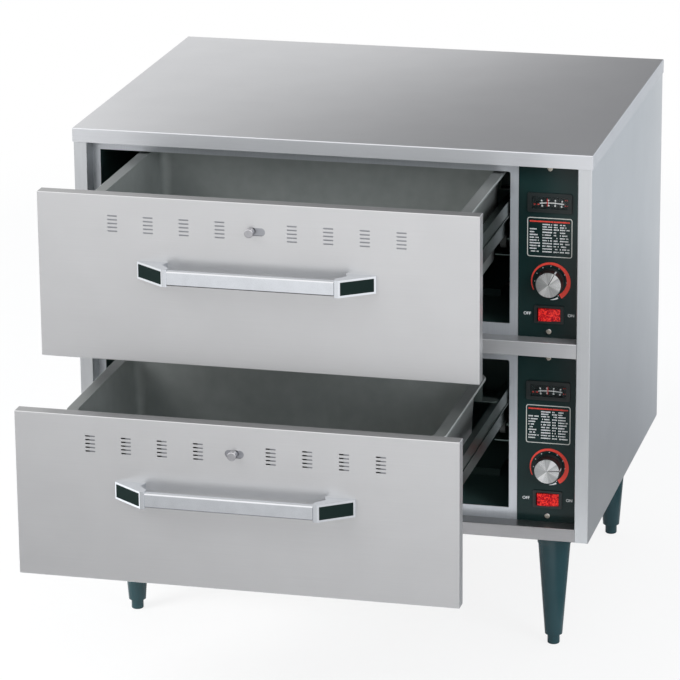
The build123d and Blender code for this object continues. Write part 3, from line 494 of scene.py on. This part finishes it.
placed = add(word_rows, "GeometryNodeInstanceOnPoints", {
    "Points": kept.outputs[0], "Instance": mark.outputs[0], "Scale": mark_size,
})
finish_tree(word_rows, end, placed.outputs[0])

card_width = 63 * mm
card_height = 56 * mm
card_line = 1.1 * mm
card_corner = 3.5 * mm
card_above_dial = 63 * mm
heading_drop = 5.6 * mm
heading_height = 2.3 * mm
card_columns = (          # left edge, width, number of marks and shortest row's share
    (4.2 * mm, 13 * mm, 9, 0.45),
    (22.0 * mm, 12 * mm, 9, 0.95),
    (37.8 * mm, 5.6 * mm, 4, 0.6),
    (46.4 * mm, 12 * mm, 9, 0.5),
)
row_count = 8
row_pitch = 3.95 * mm
first_row_drop = 20.8 * mm
header_rows = 3
header_pitch = 3.5 * mm
header_shift = 0.6 * mm
header_seed = 7
row_mark = 2.0 * mm
row_gaps = 0.1
header_gaps = 0.15
mark_share = 0.8          # of the room that each mark has along its row
flat_row = 0.1 * mm       # a single row's height, as a grid can't be flat
heading_blocks = ((4.2 * mm, 31.5 * mm, 19), (38.2 * mm, 20.5 * mm, 13))
heat_arc_radius = 27.8 * mm
heat_arc_turn = (-118, 147)          # start and end, in degrees clockwise from up
heat_arc_width = (1.2 * mm, 6.6 * mm)
heat_arc_steps = 48
off_arc_radius = 26.2 * mm
off_arc_turn = (180, 156)
off_arc_width = (0.4 * mm, 2.6 * mm)
off_arc_steps = 12
dot_radius = 22.4 * mm
dot_count = 9
dots_start = -62                     # in degrees, anticlockwise from the right
dots_sweep = 243
dot_size = 1.5 * mm
dot_width = 0.75 * dot_size
label_height = 4.2 * mm
letter_share = 1.4                   # the font's size beside its capitals' height
stroke_growth = 0.05 * mm
label_side = 30.8 * mm


def word_mesh(text, height):
    """A printed word as a solid mesh, with its middle at the origin."""
    curve = bpy.data.curves.new(text, "FONT")
    curve.body = text
    curve.size = height * letter_share
    curve.align_x = "CENTER"
    curve.align_y = "CENTER"
    curve.extrude = ink_thickness / 2
    curve.offset = stroke_growth
    holder = bpy.data.objects.new("holder", curve)
    bpy.context.scene.collection.objects.link(holder)
    shown = holder.evaluated_get(bpy.context.evaluated_depsgraph_get())
    mesh = bpy.data.meshes.new_from_object(shown)
    bpy.data.objects.remove(holder)
    return mesh


def joined(parts):
    """One mesh from several, each moved by its own matrix."""
    whole = bmesh.new()
    for mesh, place in parts:
        piece = mesh.copy()
        piece.transform(place)
        whole.from_mesh(piece)
        bpy.data.meshes.remove(piece)
    made = bpy.data.meshes.new("joined")
    whole.to_mesh(made)
    whole.free()
    return made


def at(x, y):
    """A place on a flat drawing, lifted by the ink's thickness."""
    return Matrix.Translation((x, y, ink_thickness))


def card_rows(seed):
    """The card's rows of small marks, in columns like a table's, with its short headings."""
    parts = []
    for number, (left, width, across, shortest) in enumerate(card_columns):
        spread = {
            "Width": width, "Across": across, "Mark Width": mark_share * width / across,
            "Mark Height": row_mark, "Shortest": shortest, "Material": white_ink,
        }
        reach = (row_count - 1) * row_pitch
        body = dict(spread, Height=reach, Down=row_count, Gaps=row_gaps, Seed=seed + number)
        middle = left - card_width / 2 + width / 2
        drop = first_row_drop + reach / 2
        parts.append((grown(word_rows, body), at(middle, card_height / 2 - drop)))
        rows = header_rows if number else 1
        reach = max((rows - 1) * header_pitch, flat_row)
        head = dict(spread, Height=reach, Down=rows, Gaps=header_gaps)
        head["Seed"] = seed + header_seed + number
        middle_row = 1 if number else 2
        drop = heading_drop + (middle_row + 1) * header_pitch + header_shift
        parts.append((grown(word_rows, head), at(middle, card_height / 2 - drop)))
    return joined(parts)


row_seeds = {"upper": 11, "lower": 42}
for drawer in drawers:
    knob_low, knob_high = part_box(f"{drawer}_thermostat_knob")
    dial_x = (knob_low.x + knob_high.x) / 2
    dial_z = (knob_low.z + knob_high.z) / 2
    rocker_low, rocker_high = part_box(f"{drawer}_switch_rocker")
    switch_z = (rocker_low.z + rocker_high.z) / 2

    card = facing_front(column_x, panel_face, dial_z + card_above_dial)
    outline = printed_band(
        rounded_outline(card_width, card_height, card_corner),
        rounded_outline(
            card_width - 2 * card_line, card_height - 2 * card_line, card_corner - card_line),
        True,
    )
    outline.transform(card)
    piece_from_mesh(f"{drawer}_card_outline", outline, grey_ink, "cabinet")

    rows = card_rows(row_seeds[drawer])
    rows.transform(card)
    piece_from_mesh(f"{drawer}_card_rows", rows, white_ink, "cabinet")

    heading_parts = []
    for left, width, across in heading_blocks:
        block = {
            "Width": width, "Height": flat_row, "Across": across, "Down": 1,
            "Mark Width": mark_share * width / across, "Mark Height": heading_height,
            "Gaps": 0.0, "Shortest": 1.0, "Seed": 3, "Material": red_ink,
        }
        place = at(left - card_width / 2 + width / 2, card_height / 2 - heading_drop)
        heading_parts.append((grown(word_rows, block), place))
    heading = joined(heading_parts)
    heading.transform(card)
    piece_from_mesh(f"{drawer}_card_heading", heading, red_ink, "cabinet")

    dial = facing_front(dial_x, panel_face, dial_z)
    arc = growing_arc(heat_arc_radius, *heat_arc_turn, *heat_arc_width, heat_arc_steps)
    heat_arc = printed_band(*arc, False)
    heat_arc.transform(dial)
    piece_from_mesh(f"{drawer}_heat_arc", heat_arc, red_ink, "cabinet")
    arc = growing_arc(off_arc_radius, *off_arc_turn, *off_arc_width, off_arc_steps)
    off_arc = printed_band(*arc, False)
    off_arc.transform(dial)
    piece_from_mesh(f"{drawer}_off_arc", off_arc, white_ink, "cabinet")
    dots = grown(arc_marks, {
        "Radius": dot_radius, "Start": math.radians(dots_start), "Sweep": math.radians(dots_sweep),
        "Count": dot_count, "Mark Width": dot_width, "Mark Height": dot_size, "Material": white_ink,
    })
    dots.transform(dial @ Matrix.Translation((0, 0, ink_thickness)))
    piece_from_mesh(f"{drawer}_dial_dots", dots, white_ink, "cabinet")

    for word, side in (("OFF", -1), ("ON", 1)):
        label = word_mesh(word, label_height)
        label_x = column_x + side * label_side
        label.transform(facing_front(label_x, panel_face - ink_thickness, switch_z))
        piece_from_mesh(f"{drawer}_switch_{word.lower()}_label", label, white_ink, "cabinet")

# ---------------------------------------------------------------- thermometers
# A black case snapped into the panel, with a white scale and red marks on its sunk
# face, a red needle in front of them and a clear window over all.

gauge_black = satin_coat(
    "gauge_black", (0.005, 0.009, 0.009), (0.009, 0.014, 0.014), (0.3, 0.4), 1200.0)
needle_red = ink("needle_red", (0.72, 0.03, 0.02), 0.35)
dress(gauge_black, "thermometer_cases")
for drawer in drawers:
    dress(needle_red, f"{drawer}_thermometer_needle")

window_width = 50 * mm
window_height = 17 * mm
window_thickness = 1.0 * mm
window_gap = 0.1 * mm
window_bevel = 0.25 * mm
window_out = 1.1 * mm                # the pane's middle, in front of the panel
scale_radius = 120 * mm
scale_half = 17.1 * mm
scale_line = 1.4 * mm
scale_steps = 16
scale_marks = 4
marks_share = 0.82                   # of the scale's line, for the marks along it
mark_rows = (                        # distance from the scale's line, width and height
    (-0.7 * mm, 0.7 * mm, 5.6 * mm),
    (3.0 * mm, 2.3 * mm, 2.3 * mm),
    (-4.6 * mm, 2.5 * mm, 2.5 * mm),
)
unit_flags = (                       # place from the window's middle, and width
    (-19.2 * mm, -3.4 * mm, 5.5 * mm),
    (22.6 * mm, 4.0 * mm, 2.8 * mm),
    (22.6 * mm, -4.0 * mm, 3.0 * mm),
)
flag_height = 2.0 * mm
face_depth = 2 * mm
scale_centre = 2.3 * mm


def window_glass(name):
    """A thin clear pane: mostly see-through, with a faint smear in its shine."""
    material, tree, shader = blank_finish(name)
    place = add(tree, "ShaderNodeTexCoord").outputs["Object"]
    smear = noise(tree, place, 90.0, 2.0)
    tree.links.new(between(tree, smear, 0.04, 0.10), shader.inputs["Roughness"])
    tint = tone_between(tree, smear, (0.01, 0.02, 0.02), (0.02, 0.035, 0.035))
    tree.links.new(tint, shader.inputs["Base Color"])
    shader.inputs["Alpha"].default_value = 0.12
    return material


glass = window_glass("window_glass")
for drawer in drawers:
    needle_low, needle_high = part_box(f"{drawer}_thermometer_needle")
    gauge_z = (needle_low.z + needle_high.z) / 2
    face_y = panel_face + face_depth

    half_sweep = math.asin(scale_half / scale_radius)
    top = facing_front(column_x + scale_centre, face_y, gauge_z - scale_radius)
    turn = math.degrees(half_sweep)
    arc = growing_arc(scale_radius, -turn, turn, scale_line, scale_line, scale_steps)
    parts = [(printed_band(*arc, False), Matrix.Identity(4))]
    marked = marks_share * half_sweep
    for out, width, height in mark_rows:
        marks = grown(arc_marks, {
            "Radius": scale_radius + out, "Start": math.pi / 2 - marked, "Sweep": 2 * marked,
            "Count": scale_marks, "Mark Width": width, "Mark Height": height, "Material": white_ink,
        })
        parts.append((marks, Matrix.Translation((0, 0, ink_thickness))))
    scale = joined(parts)
    scale.transform(top)
    piece_from_mesh(f"{drawer}_thermometer_scale", scale, white_ink, "cabinet")

    flags = []
    for x, y, width in unit_flags:
        block = {
            "Width": width, "Height": flat_row, "Across": 2, "Down": 1, "Mark Width": 0.45 * width,
            "Mark Height": flag_height, "Gaps": 0.0, "Shortest": 1.0, "Seed": 1, "Material": red_ink,
        }
        flags.append((grown(word_rows, block), at(x, y)))
    unit_marks = joined(flags)
    unit_marks.transform(facing_front(column_x, face_y, gauge_z))
    piece_from_mesh(f"{drawer}_thermometer_units", unit_marks, red_ink, "cabinet")

    pane = bmesh.new()
    bmesh.ops.create_cube(pane, size=1.0)
    size = (window_width - 2 * window_gap, window_height - 2 * window_gap, window_thickness)
    bmesh.ops.scale(pane, vec=size, verts=pane.verts)
    bmesh.ops.bevel(
        pane, geom=pane.edges[:], offset=window_bevel, segments=2, affect="EDGES", profile=0.5)
    mesh = bpy.data.meshes.new("pane")
    pane.to_mesh(mesh)
    pane.free()
    mesh.transform(facing_front(column_x, panel_face - window_out, gauge_z))
    piece_from_mesh(f"{drawer}_thermometer_window", mesh, glass, "cabinet")

# ------------------------------------------------------------- thermostat knobs
# A black moulded knob with a skirt, pressed on the thermostat's shaft. A spun
# aluminium disc on its front bears a black pointer line, and a white mark goes on
# from it along the knob's side.

knob_black = satin_coat(
    "knob_black", (0.006, 0.008, 0.008), (0.012, 0.014, 0.014), (0.32, 0.42))
# The painted highlight streak on each knob's disc runs this way.
painted_streak_way = (0.59, 0.0, 0.81)        # the way that the brightest streak across the disc runs


def spun_aluminium(name, centre):
    """Turned metal: fine rings, a painted sheen that fans out from the middle, and a painted
    highlight streak across it.
    """
    material, tree, shader = blank_finish(name)
    place = add(tree, "ShaderNodeTexCoord").outputs["Object"]
    vector = "ShaderNodeVectorMath"
    out = add(tree, vector, {0: place, 1: centre}, operation="SUBTRACT").outputs[0]
    flat = add(tree, vector, {0: out, 1: (1.0, 0.0, 1.0)}, operation="MULTIPLY").outputs[0]
    reach = add(tree, vector, {0: flat}, operation="LENGTH").outputs["Value"]
    turn = add(tree, vector, {0: flat}, operation="NORMALIZE").outputs[0]
    fan = noise(tree, turn, 1.7, 3.0)
    rings = add(tree, "ShaderNodeTexNoise", {
        "W": reach, "Scale": 2600.0, "Detail": 1.0,
    }, noise_dimensions="1D")
    # Painted sheen: light and dark fans round the middle, in the colour.
    shine = tone_between(tree, fan, (0.36, 0.37, 0.37), (0.92, 0.93, 0.93), 0.40, 0.58)
    turned = mixed(tree, rings.outputs["Fac"], shine, (0.66, 0.67, 0.67, 1))
    # Painted highlight: a near-white streak through the middle.
    toward = add(tree, vector, {0: turn, 1: painted_streak_way}, operation="DOT_PRODUCT")
    value = {0: toward.outputs["Value"]}
    either = add(tree, "ShaderNodeMath", value, operation="ABSOLUTE").outputs[0]
    painted_streak = peak(tree, either, (0.95, 0), (0.985, 1))
    tree.links.new(mixed(tree, painted_streak, turned, (0.99, 0.99, 0.99, 1)), shader.inputs["Base Color"])
    tree.links.new(between(tree, fan, 0.34, 0.22), shader.inputs["Roughness"])
    shader.inputs["Metallic"].default_value = 1.0
    bump = add(tree, "ShaderNodeBump", {
        "Height": rings.outputs["Fac"], "Strength": 0.4, "Distance": finest_relief,
    })
    tree.links.new(bump.outputs[0], shader.inputs["Normal"])
    return material


shaft_grain = (400, 30, 400)
shaft_steel = sheet_steel("shaft_steel", (0.45, 0.45, 0.45), (0.6, 0.6, 0.6), shaft_grain)
thermostat_plate = sheet_steel(
    "thermostat_plate", (0.45, 0.44, 0.40), (0.6, 0.59, 0.54), drawn_grain)
dress(thermostat_plate, "thermostat_bodies")
for drawer in drawers:
    dress(shaft_steel, f"{drawer}_thermostat_shaft")
    dress(knob_black, f"{drawer}_thermostat_knob")
    cap_low, cap_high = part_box(f"{drawer}_knob_cap")
    spun_disc = spun_aluminium(f"{drawer}_spun_disc", (cap_low + cap_high) / 2)
    dress(spun_disc, f"{drawer}_knob_cap")

pointer_turn = {"upper": 28, "lower": 85}      # in degrees clockwise from up
pointer_line = 0.8 * mm
pointer_reach = 17.4 * mm
knob_side = 18.3 * mm
side_mark_width = 1.8 * mm
side_mark_start = 1.3 * mm
side_mark_end = 13.5 * mm


def small_block(low, high):
    """A block between two corners, softened along its edges."""
    block = bmesh.new()
    bmesh.ops.create_cube(block, size=1.0)
    size = [far - near for near, far in zip(low, high)]
    bmesh.ops.scale(block, vec=size, verts=block.verts)
    middle = [(far + near) / 2 for near, far in zip(low, high)]
    bmesh.ops.translate(block, vec=middle, verts=block.verts)
    bevel = 0.2 * min(size)
    bmesh.ops.bevel(block, geom=block.edges[:], offset=bevel, segments=1, affect="EDGES")
    mesh = bpy.data.meshes.new("block")
    block.to_mesh(mesh)
    block.free()
    return mesh


line_black = ink("line_black", (0.012, 0.014, 0.014), 0.4)
for drawer in drawers:
    cap_low, cap_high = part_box(f"{drawer}_knob_cap")
    middle = (cap_low + cap_high) / 2
    turn = Matrix.Rotation(-math.radians(pointer_turn[drawer]), 4, "Z")
    turned = facing_front(middle.x, cap_low.y, middle.z) @ turn
    half = pointer_line / 2
    line = small_block((-half, 0, -ink_thickness), (half, pointer_reach, ink_thickness))
    line.transform(turned)
    piece_from_mesh(f"{drawer}_pointer_line", line, line_black, f"{drawer}_dial")
    half = side_mark_width / 2
    mark = small_block(
        (-half, knob_side - 2 * ink_thickness, -side_mark_end),
        (half, knob_side + ink_thickness, -side_mark_start))
    mark.transform(turned)
    piece_from_mesh(f"{drawer}_pointer_mark", mark, white_ink, f"{drawer}_dial")

# ------------------------------------------------------------------ power switches
# A rocker of clear red plastic, lit from inside by a neon lamp, in a black housing
# that snaps into the panel. Small facets on its back break up the glow.


def lit_red(name):
    """Clear red plastic that glows a little, in facets."""
    material, tree, shader = blank_finish(name)
    place = add(tree, "ShaderNodeTexCoord").outputs["Object"]
    facets = add(tree, "ShaderNodeTexVoronoi", {"Vector": place, "Scale": 800.0}, feature="F1")
    facet = add(tree, "ShaderNodeSeparateXYZ", {"Vector": facets.outputs["Color"]}).outputs["X"]
    glow = noise(tree, place, 90.0, 2.0)
    both = maths(tree, "ADD", facet, glow)
    deep = tone_between(tree, both, (0.12, 0.0, 0.004), (0.52, 0.003, 0.014), 0.4, 1.2)
    hot = peak(tree, both, (0.97, 0), (1.0, 0.7))
    colour = mixed(tree, hot, deep, (0.95, 0.05, 0.03, 1))
    tree.links.new(colour, shader.inputs["Base Color"])
    tree.links.new(colour, shader.inputs["Emission Color"])
    shader.inputs["Emission Strength"].default_value = 0.1
    shader.inputs["Roughness"].default_value = 0.15
    shader.inputs["Specular IOR Level"].default_value = 0.12
    return material


rocker_red = lit_red("rocker_red")
switch_black = satin_coat(
    "switch_black", (0.006, 0.009, 0.009), (0.012, 0.016, 0.016), (0.28, 0.38))
dress(switch_black, "switch_housings")
for drawer in drawers:
    dress(rocker_red, f"{drawer}_switch_rocker")

# -------------------------------------------------------------------- legs and feet
# Tapered legs in dark satin enamel, screwed into the bottom panel. Each has a small
# levelling foot in the same enamel, which screws out.

leg_enamel = satin_coat(
    "leg_enamel", (0.009, 0.040, 0.047), (0.014, 0.055, 0.065), (0.22, 0.30), 300.0)
dress(leg_enamel, "legs")
for corner in ("front_left", "front_right", "back_left", "back_right"):
    dress(leg_enamel, f"{corner}_foot")

# --------------------------------------------------------- back: screws and cord inlet
# Two columns of low cross-head screws hold the back panel to the side panels. A black
# rubber bushing lines the cord inlet.

screw_inset = 12 * mm
screw_end_inset = 1.2 * screw_inset
screw_rows = 4
head_radius = 4.2 * mm
head_flatness = 0.45
recess_width = 0.9 * mm
recess_length = 4.4 * mm
recess_depth = 1.6 * mm
screw_column, given, end = new_tree("screw_column", {
    "Width": length_socket, "Height": length_socket, "Down": count_socket,
    "Head Radius": length_socket, "Flatness": length_socket, "Recess Width": length_socket,
    "Recess Length": length_socket, "Material": material_socket,
})
spots = add(screw_column, "GeometryNodeMeshGrid", {
    "Size X": given["Width"], "Size Y": given["Height"], "Vertices X": 2,
    "Vertices Y": given["Down"],
})
dome = add(screw_column, "GeometryNodeMeshUVSphere", {
    "Segments": 28, "Rings": 14, "Radius": given["Head Radius"],
})
squashed = add(screw_column, "ShaderNodeCombineXYZ", {0: 1.0, 1: 1.0, 2: given["Flatness"]})
low_dome = add(screw_column, "GeometryNodeTransform", {
    "Geometry": dome.outputs[0], "Scale": squashed.outputs[0],
})
bars = []
for first, second in (("Recess Width", "Recess Length"), ("Recess Length", "Recess Width")):
    bar_size = add(screw_column, "ShaderNodeCombineXYZ", {
        0: given[first], 1: given[second], 2: recess_depth,
    }).outputs[0]
    bar = add(screw_column, "GeometryNodeMeshCube", {"Size": bar_size}).outputs[0]
    bars.append(add(screw_column, "GeometryNodeTransform", {
        "Geometry": bar, "Translation": (0, 0, recess_depth),
    }))
head = add(screw_column, "GeometryNodeMeshBoolean", {
    "Mesh 1": low_dome.outputs[0],
}, operation="DIFFERENCE")
for bar in bars:
    screw_column.links.new(bar.outputs[0], head.inputs["Mesh 2"])
placed = add(screw_column, "GeometryNodeInstanceOnPoints", {
    "Points": spots.outputs[0], "Instance": head.outputs[0],
})
finish_tree(screw_column, end, placed.outputs[0])

back_low, back_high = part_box("back_panel")
heads = grown(screw_column, {
    "Width": back_high.x - back_low.x - 2 * screw_inset,
    "Height": back_high.z - back_low.z - 2 * screw_end_inset,
    "Down": screw_rows, "Head Radius": head_radius, "Flatness": head_flatness,
    "Recess Width": recess_width, "Recess Length": recess_length, "Material": screw_steel,
})
back_middle = (back_low + back_high) / 2
back_face = Matrix.Translation((back_middle.x, back_high.y, back_middle.z))
heads.transform(back_face @ Matrix.Rotation(-math.pi / 2, 4, "X"))
piece_from_mesh("back_panel_screws", heads, screw_steel, "cabinet")

bushing_rubber = satin_coat(
    "bushing_rubber", (0.012, 0.012, 0.012), (0.02, 0.02, 0.02), (0.5, 0.65))
dress(bushing_rubber, "cord_bushing")

# ------------------------------------------------------------------------- studio
# A pale floor that fades into a white background, soft panels of light, cards that
# only shines show, and the camera at the photograph's place.

paper, tree, shader = blank_finish("studio_paper")
place = add(tree, "ShaderNodeTexCoord").outputs["Object"]
fibre = noise(tree, place, 40.0, 2.0)
pale = tone_between(tree, fibre, (0.88, 0.88, 0.88), (0.9, 0.9, 0.9))
tree.links.new(pale, shader.inputs["Base Color"])
shader.inputs["Roughness"].default_value = 0.9
shader.inputs["Specular IOR Level"].default_value = 0.0
fade_start = 0.6
fade_end = 2.6
near_white = 0.85
away = add(tree, "ShaderNodeVectorMath", {0: place}, operation="LENGTH").outputs["Value"]
fade = add(tree, "ShaderNodeMapRange", {
    "Value": away, "From Min": fade_start, "From Max": fade_end,
}, interpolation_type="SMOOTHSTEP").outputs["Result"]
rays = add(tree, "ShaderNodeLightPath").outputs
seen = maths(tree, "MAXIMUM", rays["Is Camera Ray"], rays["Is Glossy Ray"])
seen = maths(tree, "MAXIMUM", seen, rays["Is Transmission Ray"])
near = maths(tree, "MULTIPLY", rays["Is Camera Ray"], near_white)
far = maths(tree, "MULTIPLY", fade, seen)
share = maths(tree, "MAXIMUM", near, far)
white = add(tree, "ShaderNodeEmission", {"Color": (1, 1, 1, 1), "Strength": 1.0}).outputs[0]
both = add(tree, "ShaderNodeMixShader", {0: share, 1: shader.outputs[0], 2: white}).outputs[0]
tree.links.new(both, tree.nodes["Material Output"].inputs["Surface"])

floor_mesh = bpy.data.meshes.new("studio_floor")
floor_half = 6.0
floor_corners = [
    (-floor_half, -floor_half, 0), (floor_half, -floor_half, 0),
    (floor_half, floor_half, 0), (-floor_half, floor_half, 0),
]
floor_mesh.from_pydata(floor_corners, [], [(0, 1, 2, 3)])
floor_mesh.materials.append(paper)
floor = bpy.data.objects.new("studio_floor", floor_mesh)
bpy.context.scene.collection.objects.link(floor)

world = bpy.data.worlds.new("studio")
bpy.context.scene.world = world
world.use_nodes = True
tree = world.node_tree
rays = add(tree, "ShaderNodeLightPath").outputs
seen = maths(tree, "MAXIMUM", rays["Is Camera Ray"], rays["Is Transmission Ray"])
seen = maths(tree, "MAXIMUM", seen, rays["Is Glossy Ray"])
sky_light = {"Color": (0.93, 0.96, 1.0, 1), "Strength": 0.75}
soft = add(tree, "ShaderNodeBackground", sky_light).outputs[0]
plain = add(tree, "ShaderNodeBackground", {"Color": (1, 1, 1, 1), "Strength": 1.0}).outputs[0]
sky = add(tree, "ShaderNodeMixShader", {0: seen, 1: soft, 2: plain}).outputs[0]
tree.links.new(sky, tree.nodes["World Output"].inputs["Surface"])


def soft_panel(name, place, target, width, height, power, colour=(1, 1, 1)):
    """A soft light that points at a target."""
    lamp = bpy.data.lights.new(name, "AREA")
    lamp.shape = "RECTANGLE"
    lamp.size = width
    lamp.size_y = height
    lamp.energy = power
    lamp.color = colour
    holder = bpy.data.objects.new(name, lamp)
    holder.location = place
    holder.rotation_euler = (Vector(target) - Vector(place)).to_track_quat("-Z", "Y").to_euler()
    holder.visible_camera = False
    holder.visible_glossy = False
    bpy.context.scene.collection.objects.link(holder)


def grey_card(name, corners, low, high, slope, start):
    """A card that only shines show: it gives flat steel its slow change of tone.

    The tone goes from low to high as the place along the slope, plus start, goes from 0 to 1."""
    mesh = bpy.data.meshes.new(name)
    mesh.from_pydata(corners, [], [(0, 1, 2, 3)])
    material, tree, shader = blank_finish(name)
    tree.nodes.remove(shader)
    place = add(tree, "ShaderNodeTexCoord").outputs["Object"]
    along = add(tree, "ShaderNodeVectorMath", {0: place, 1: slope}, operation="DOT_PRODUCT")
    share = maths(tree, "ADD", along.outputs["Value"], start)
    tone = tone_between(tree, share, low, high, 0.0, 1.0)
    plain = add(tree, "ShaderNodeEmission", {"Color": tone, "Strength": 1.0}).outputs[0]
    tree.links.new(plain, tree.nodes["Material Output"].inputs["Surface"])
    mesh.materials.append(material)
    card = bpy.data.objects.new(name, mesh)
    bpy.context.scene.collection.objects.link(card)
    card.visible_camera = False
    card.visible_diffuse = False
    card.visible_shadow = False
    card.visible_transmission = False


low_card = 4 * mm                    # just above the floor
grey_card(
    "lid_card", [(-0.75, 1.0, 1.25), (0.9, 1.0, 0.55), (1.8, 1.0, 1.6), (0.0, 1.0, 3.2)],
    low=(0.04, 0.04, 0.045), high=(0.25, 0.25, 0.255), slope=(1.667, 0, 0), start=0.833)
grey_card(
    "side_card", [(0.42, 0.55, 0.0), (1.6, 0.9, 0.0), (1.6, 0.9, 1.2), (0.42, 0.55, 1.2)],
    low=(0.24, 0.25, 0.27), high=(0.56, 0.60, 0.64), slope=(0, 0, 2.5), start=0.0)
grey_card(
    "side_floor_card", [
        (0.39, -0.79, low_card), (1.8, -0.79, low_card), (1.8, 0.9, low_card),
        (0.42, 0.55, low_card),
    ],
    low=(0.26, 0.27, 0.28), high=(0.26, 0.27, 0.28), slope=(0, 0, 1), start=0.0)
grey_card(
    "front_card", [
        (-4.0, -5.9, low_card), (2.0, -5.9, low_card), (2.0, -0.8, low_card),
        (-4.0, -0.8, low_card),
    ],
    low=(0.34, 0.34, 0.345), high=(0.99, 0.99, 1.0), slope=(0.364, -0.509, 0), start=-0.298)
middle = Vector((0, -0.1, 0.4))
soft_panel("key_light", (-2.4, -2.6, 3.0), middle, width=1.8, height=1.8, power=150)
soft_panel(
    "fill_light", (2.8, -2.2, 1.6), middle, width=1.6, height=1.6, power=55,
    colour=(0.9, 0.95, 1.0))

camera_place = (1.2687, -5.2764, 2.0602)
camera_yaw = 14.127
camera_pitch = 17.386
camera_roll = -0.492
camera_lens = 204.05
camera = bpy.data.cameras.new("camera")
camera.lens = camera_lens
camera.sensor_width = 36
camera_holder = bpy.data.objects.new("camera", camera)
camera_holder.matrix_world = (
    Matrix.Translation(camera_place)
    @ Matrix.Rotation(math.radians(camera_yaw), 4, "Z")
    @ Matrix.Rotation(math.radians(90 - camera_pitch), 4, "X")
    @ Matrix.Rotation(math.radians(camera_roll), 4, "Z")
)
bpy.context.scene.collection.objects.link(camera_holder)
bpy.context.scene.camera = camera_holder
bpy.context.scene.view_settings.view_transform = "Standard"
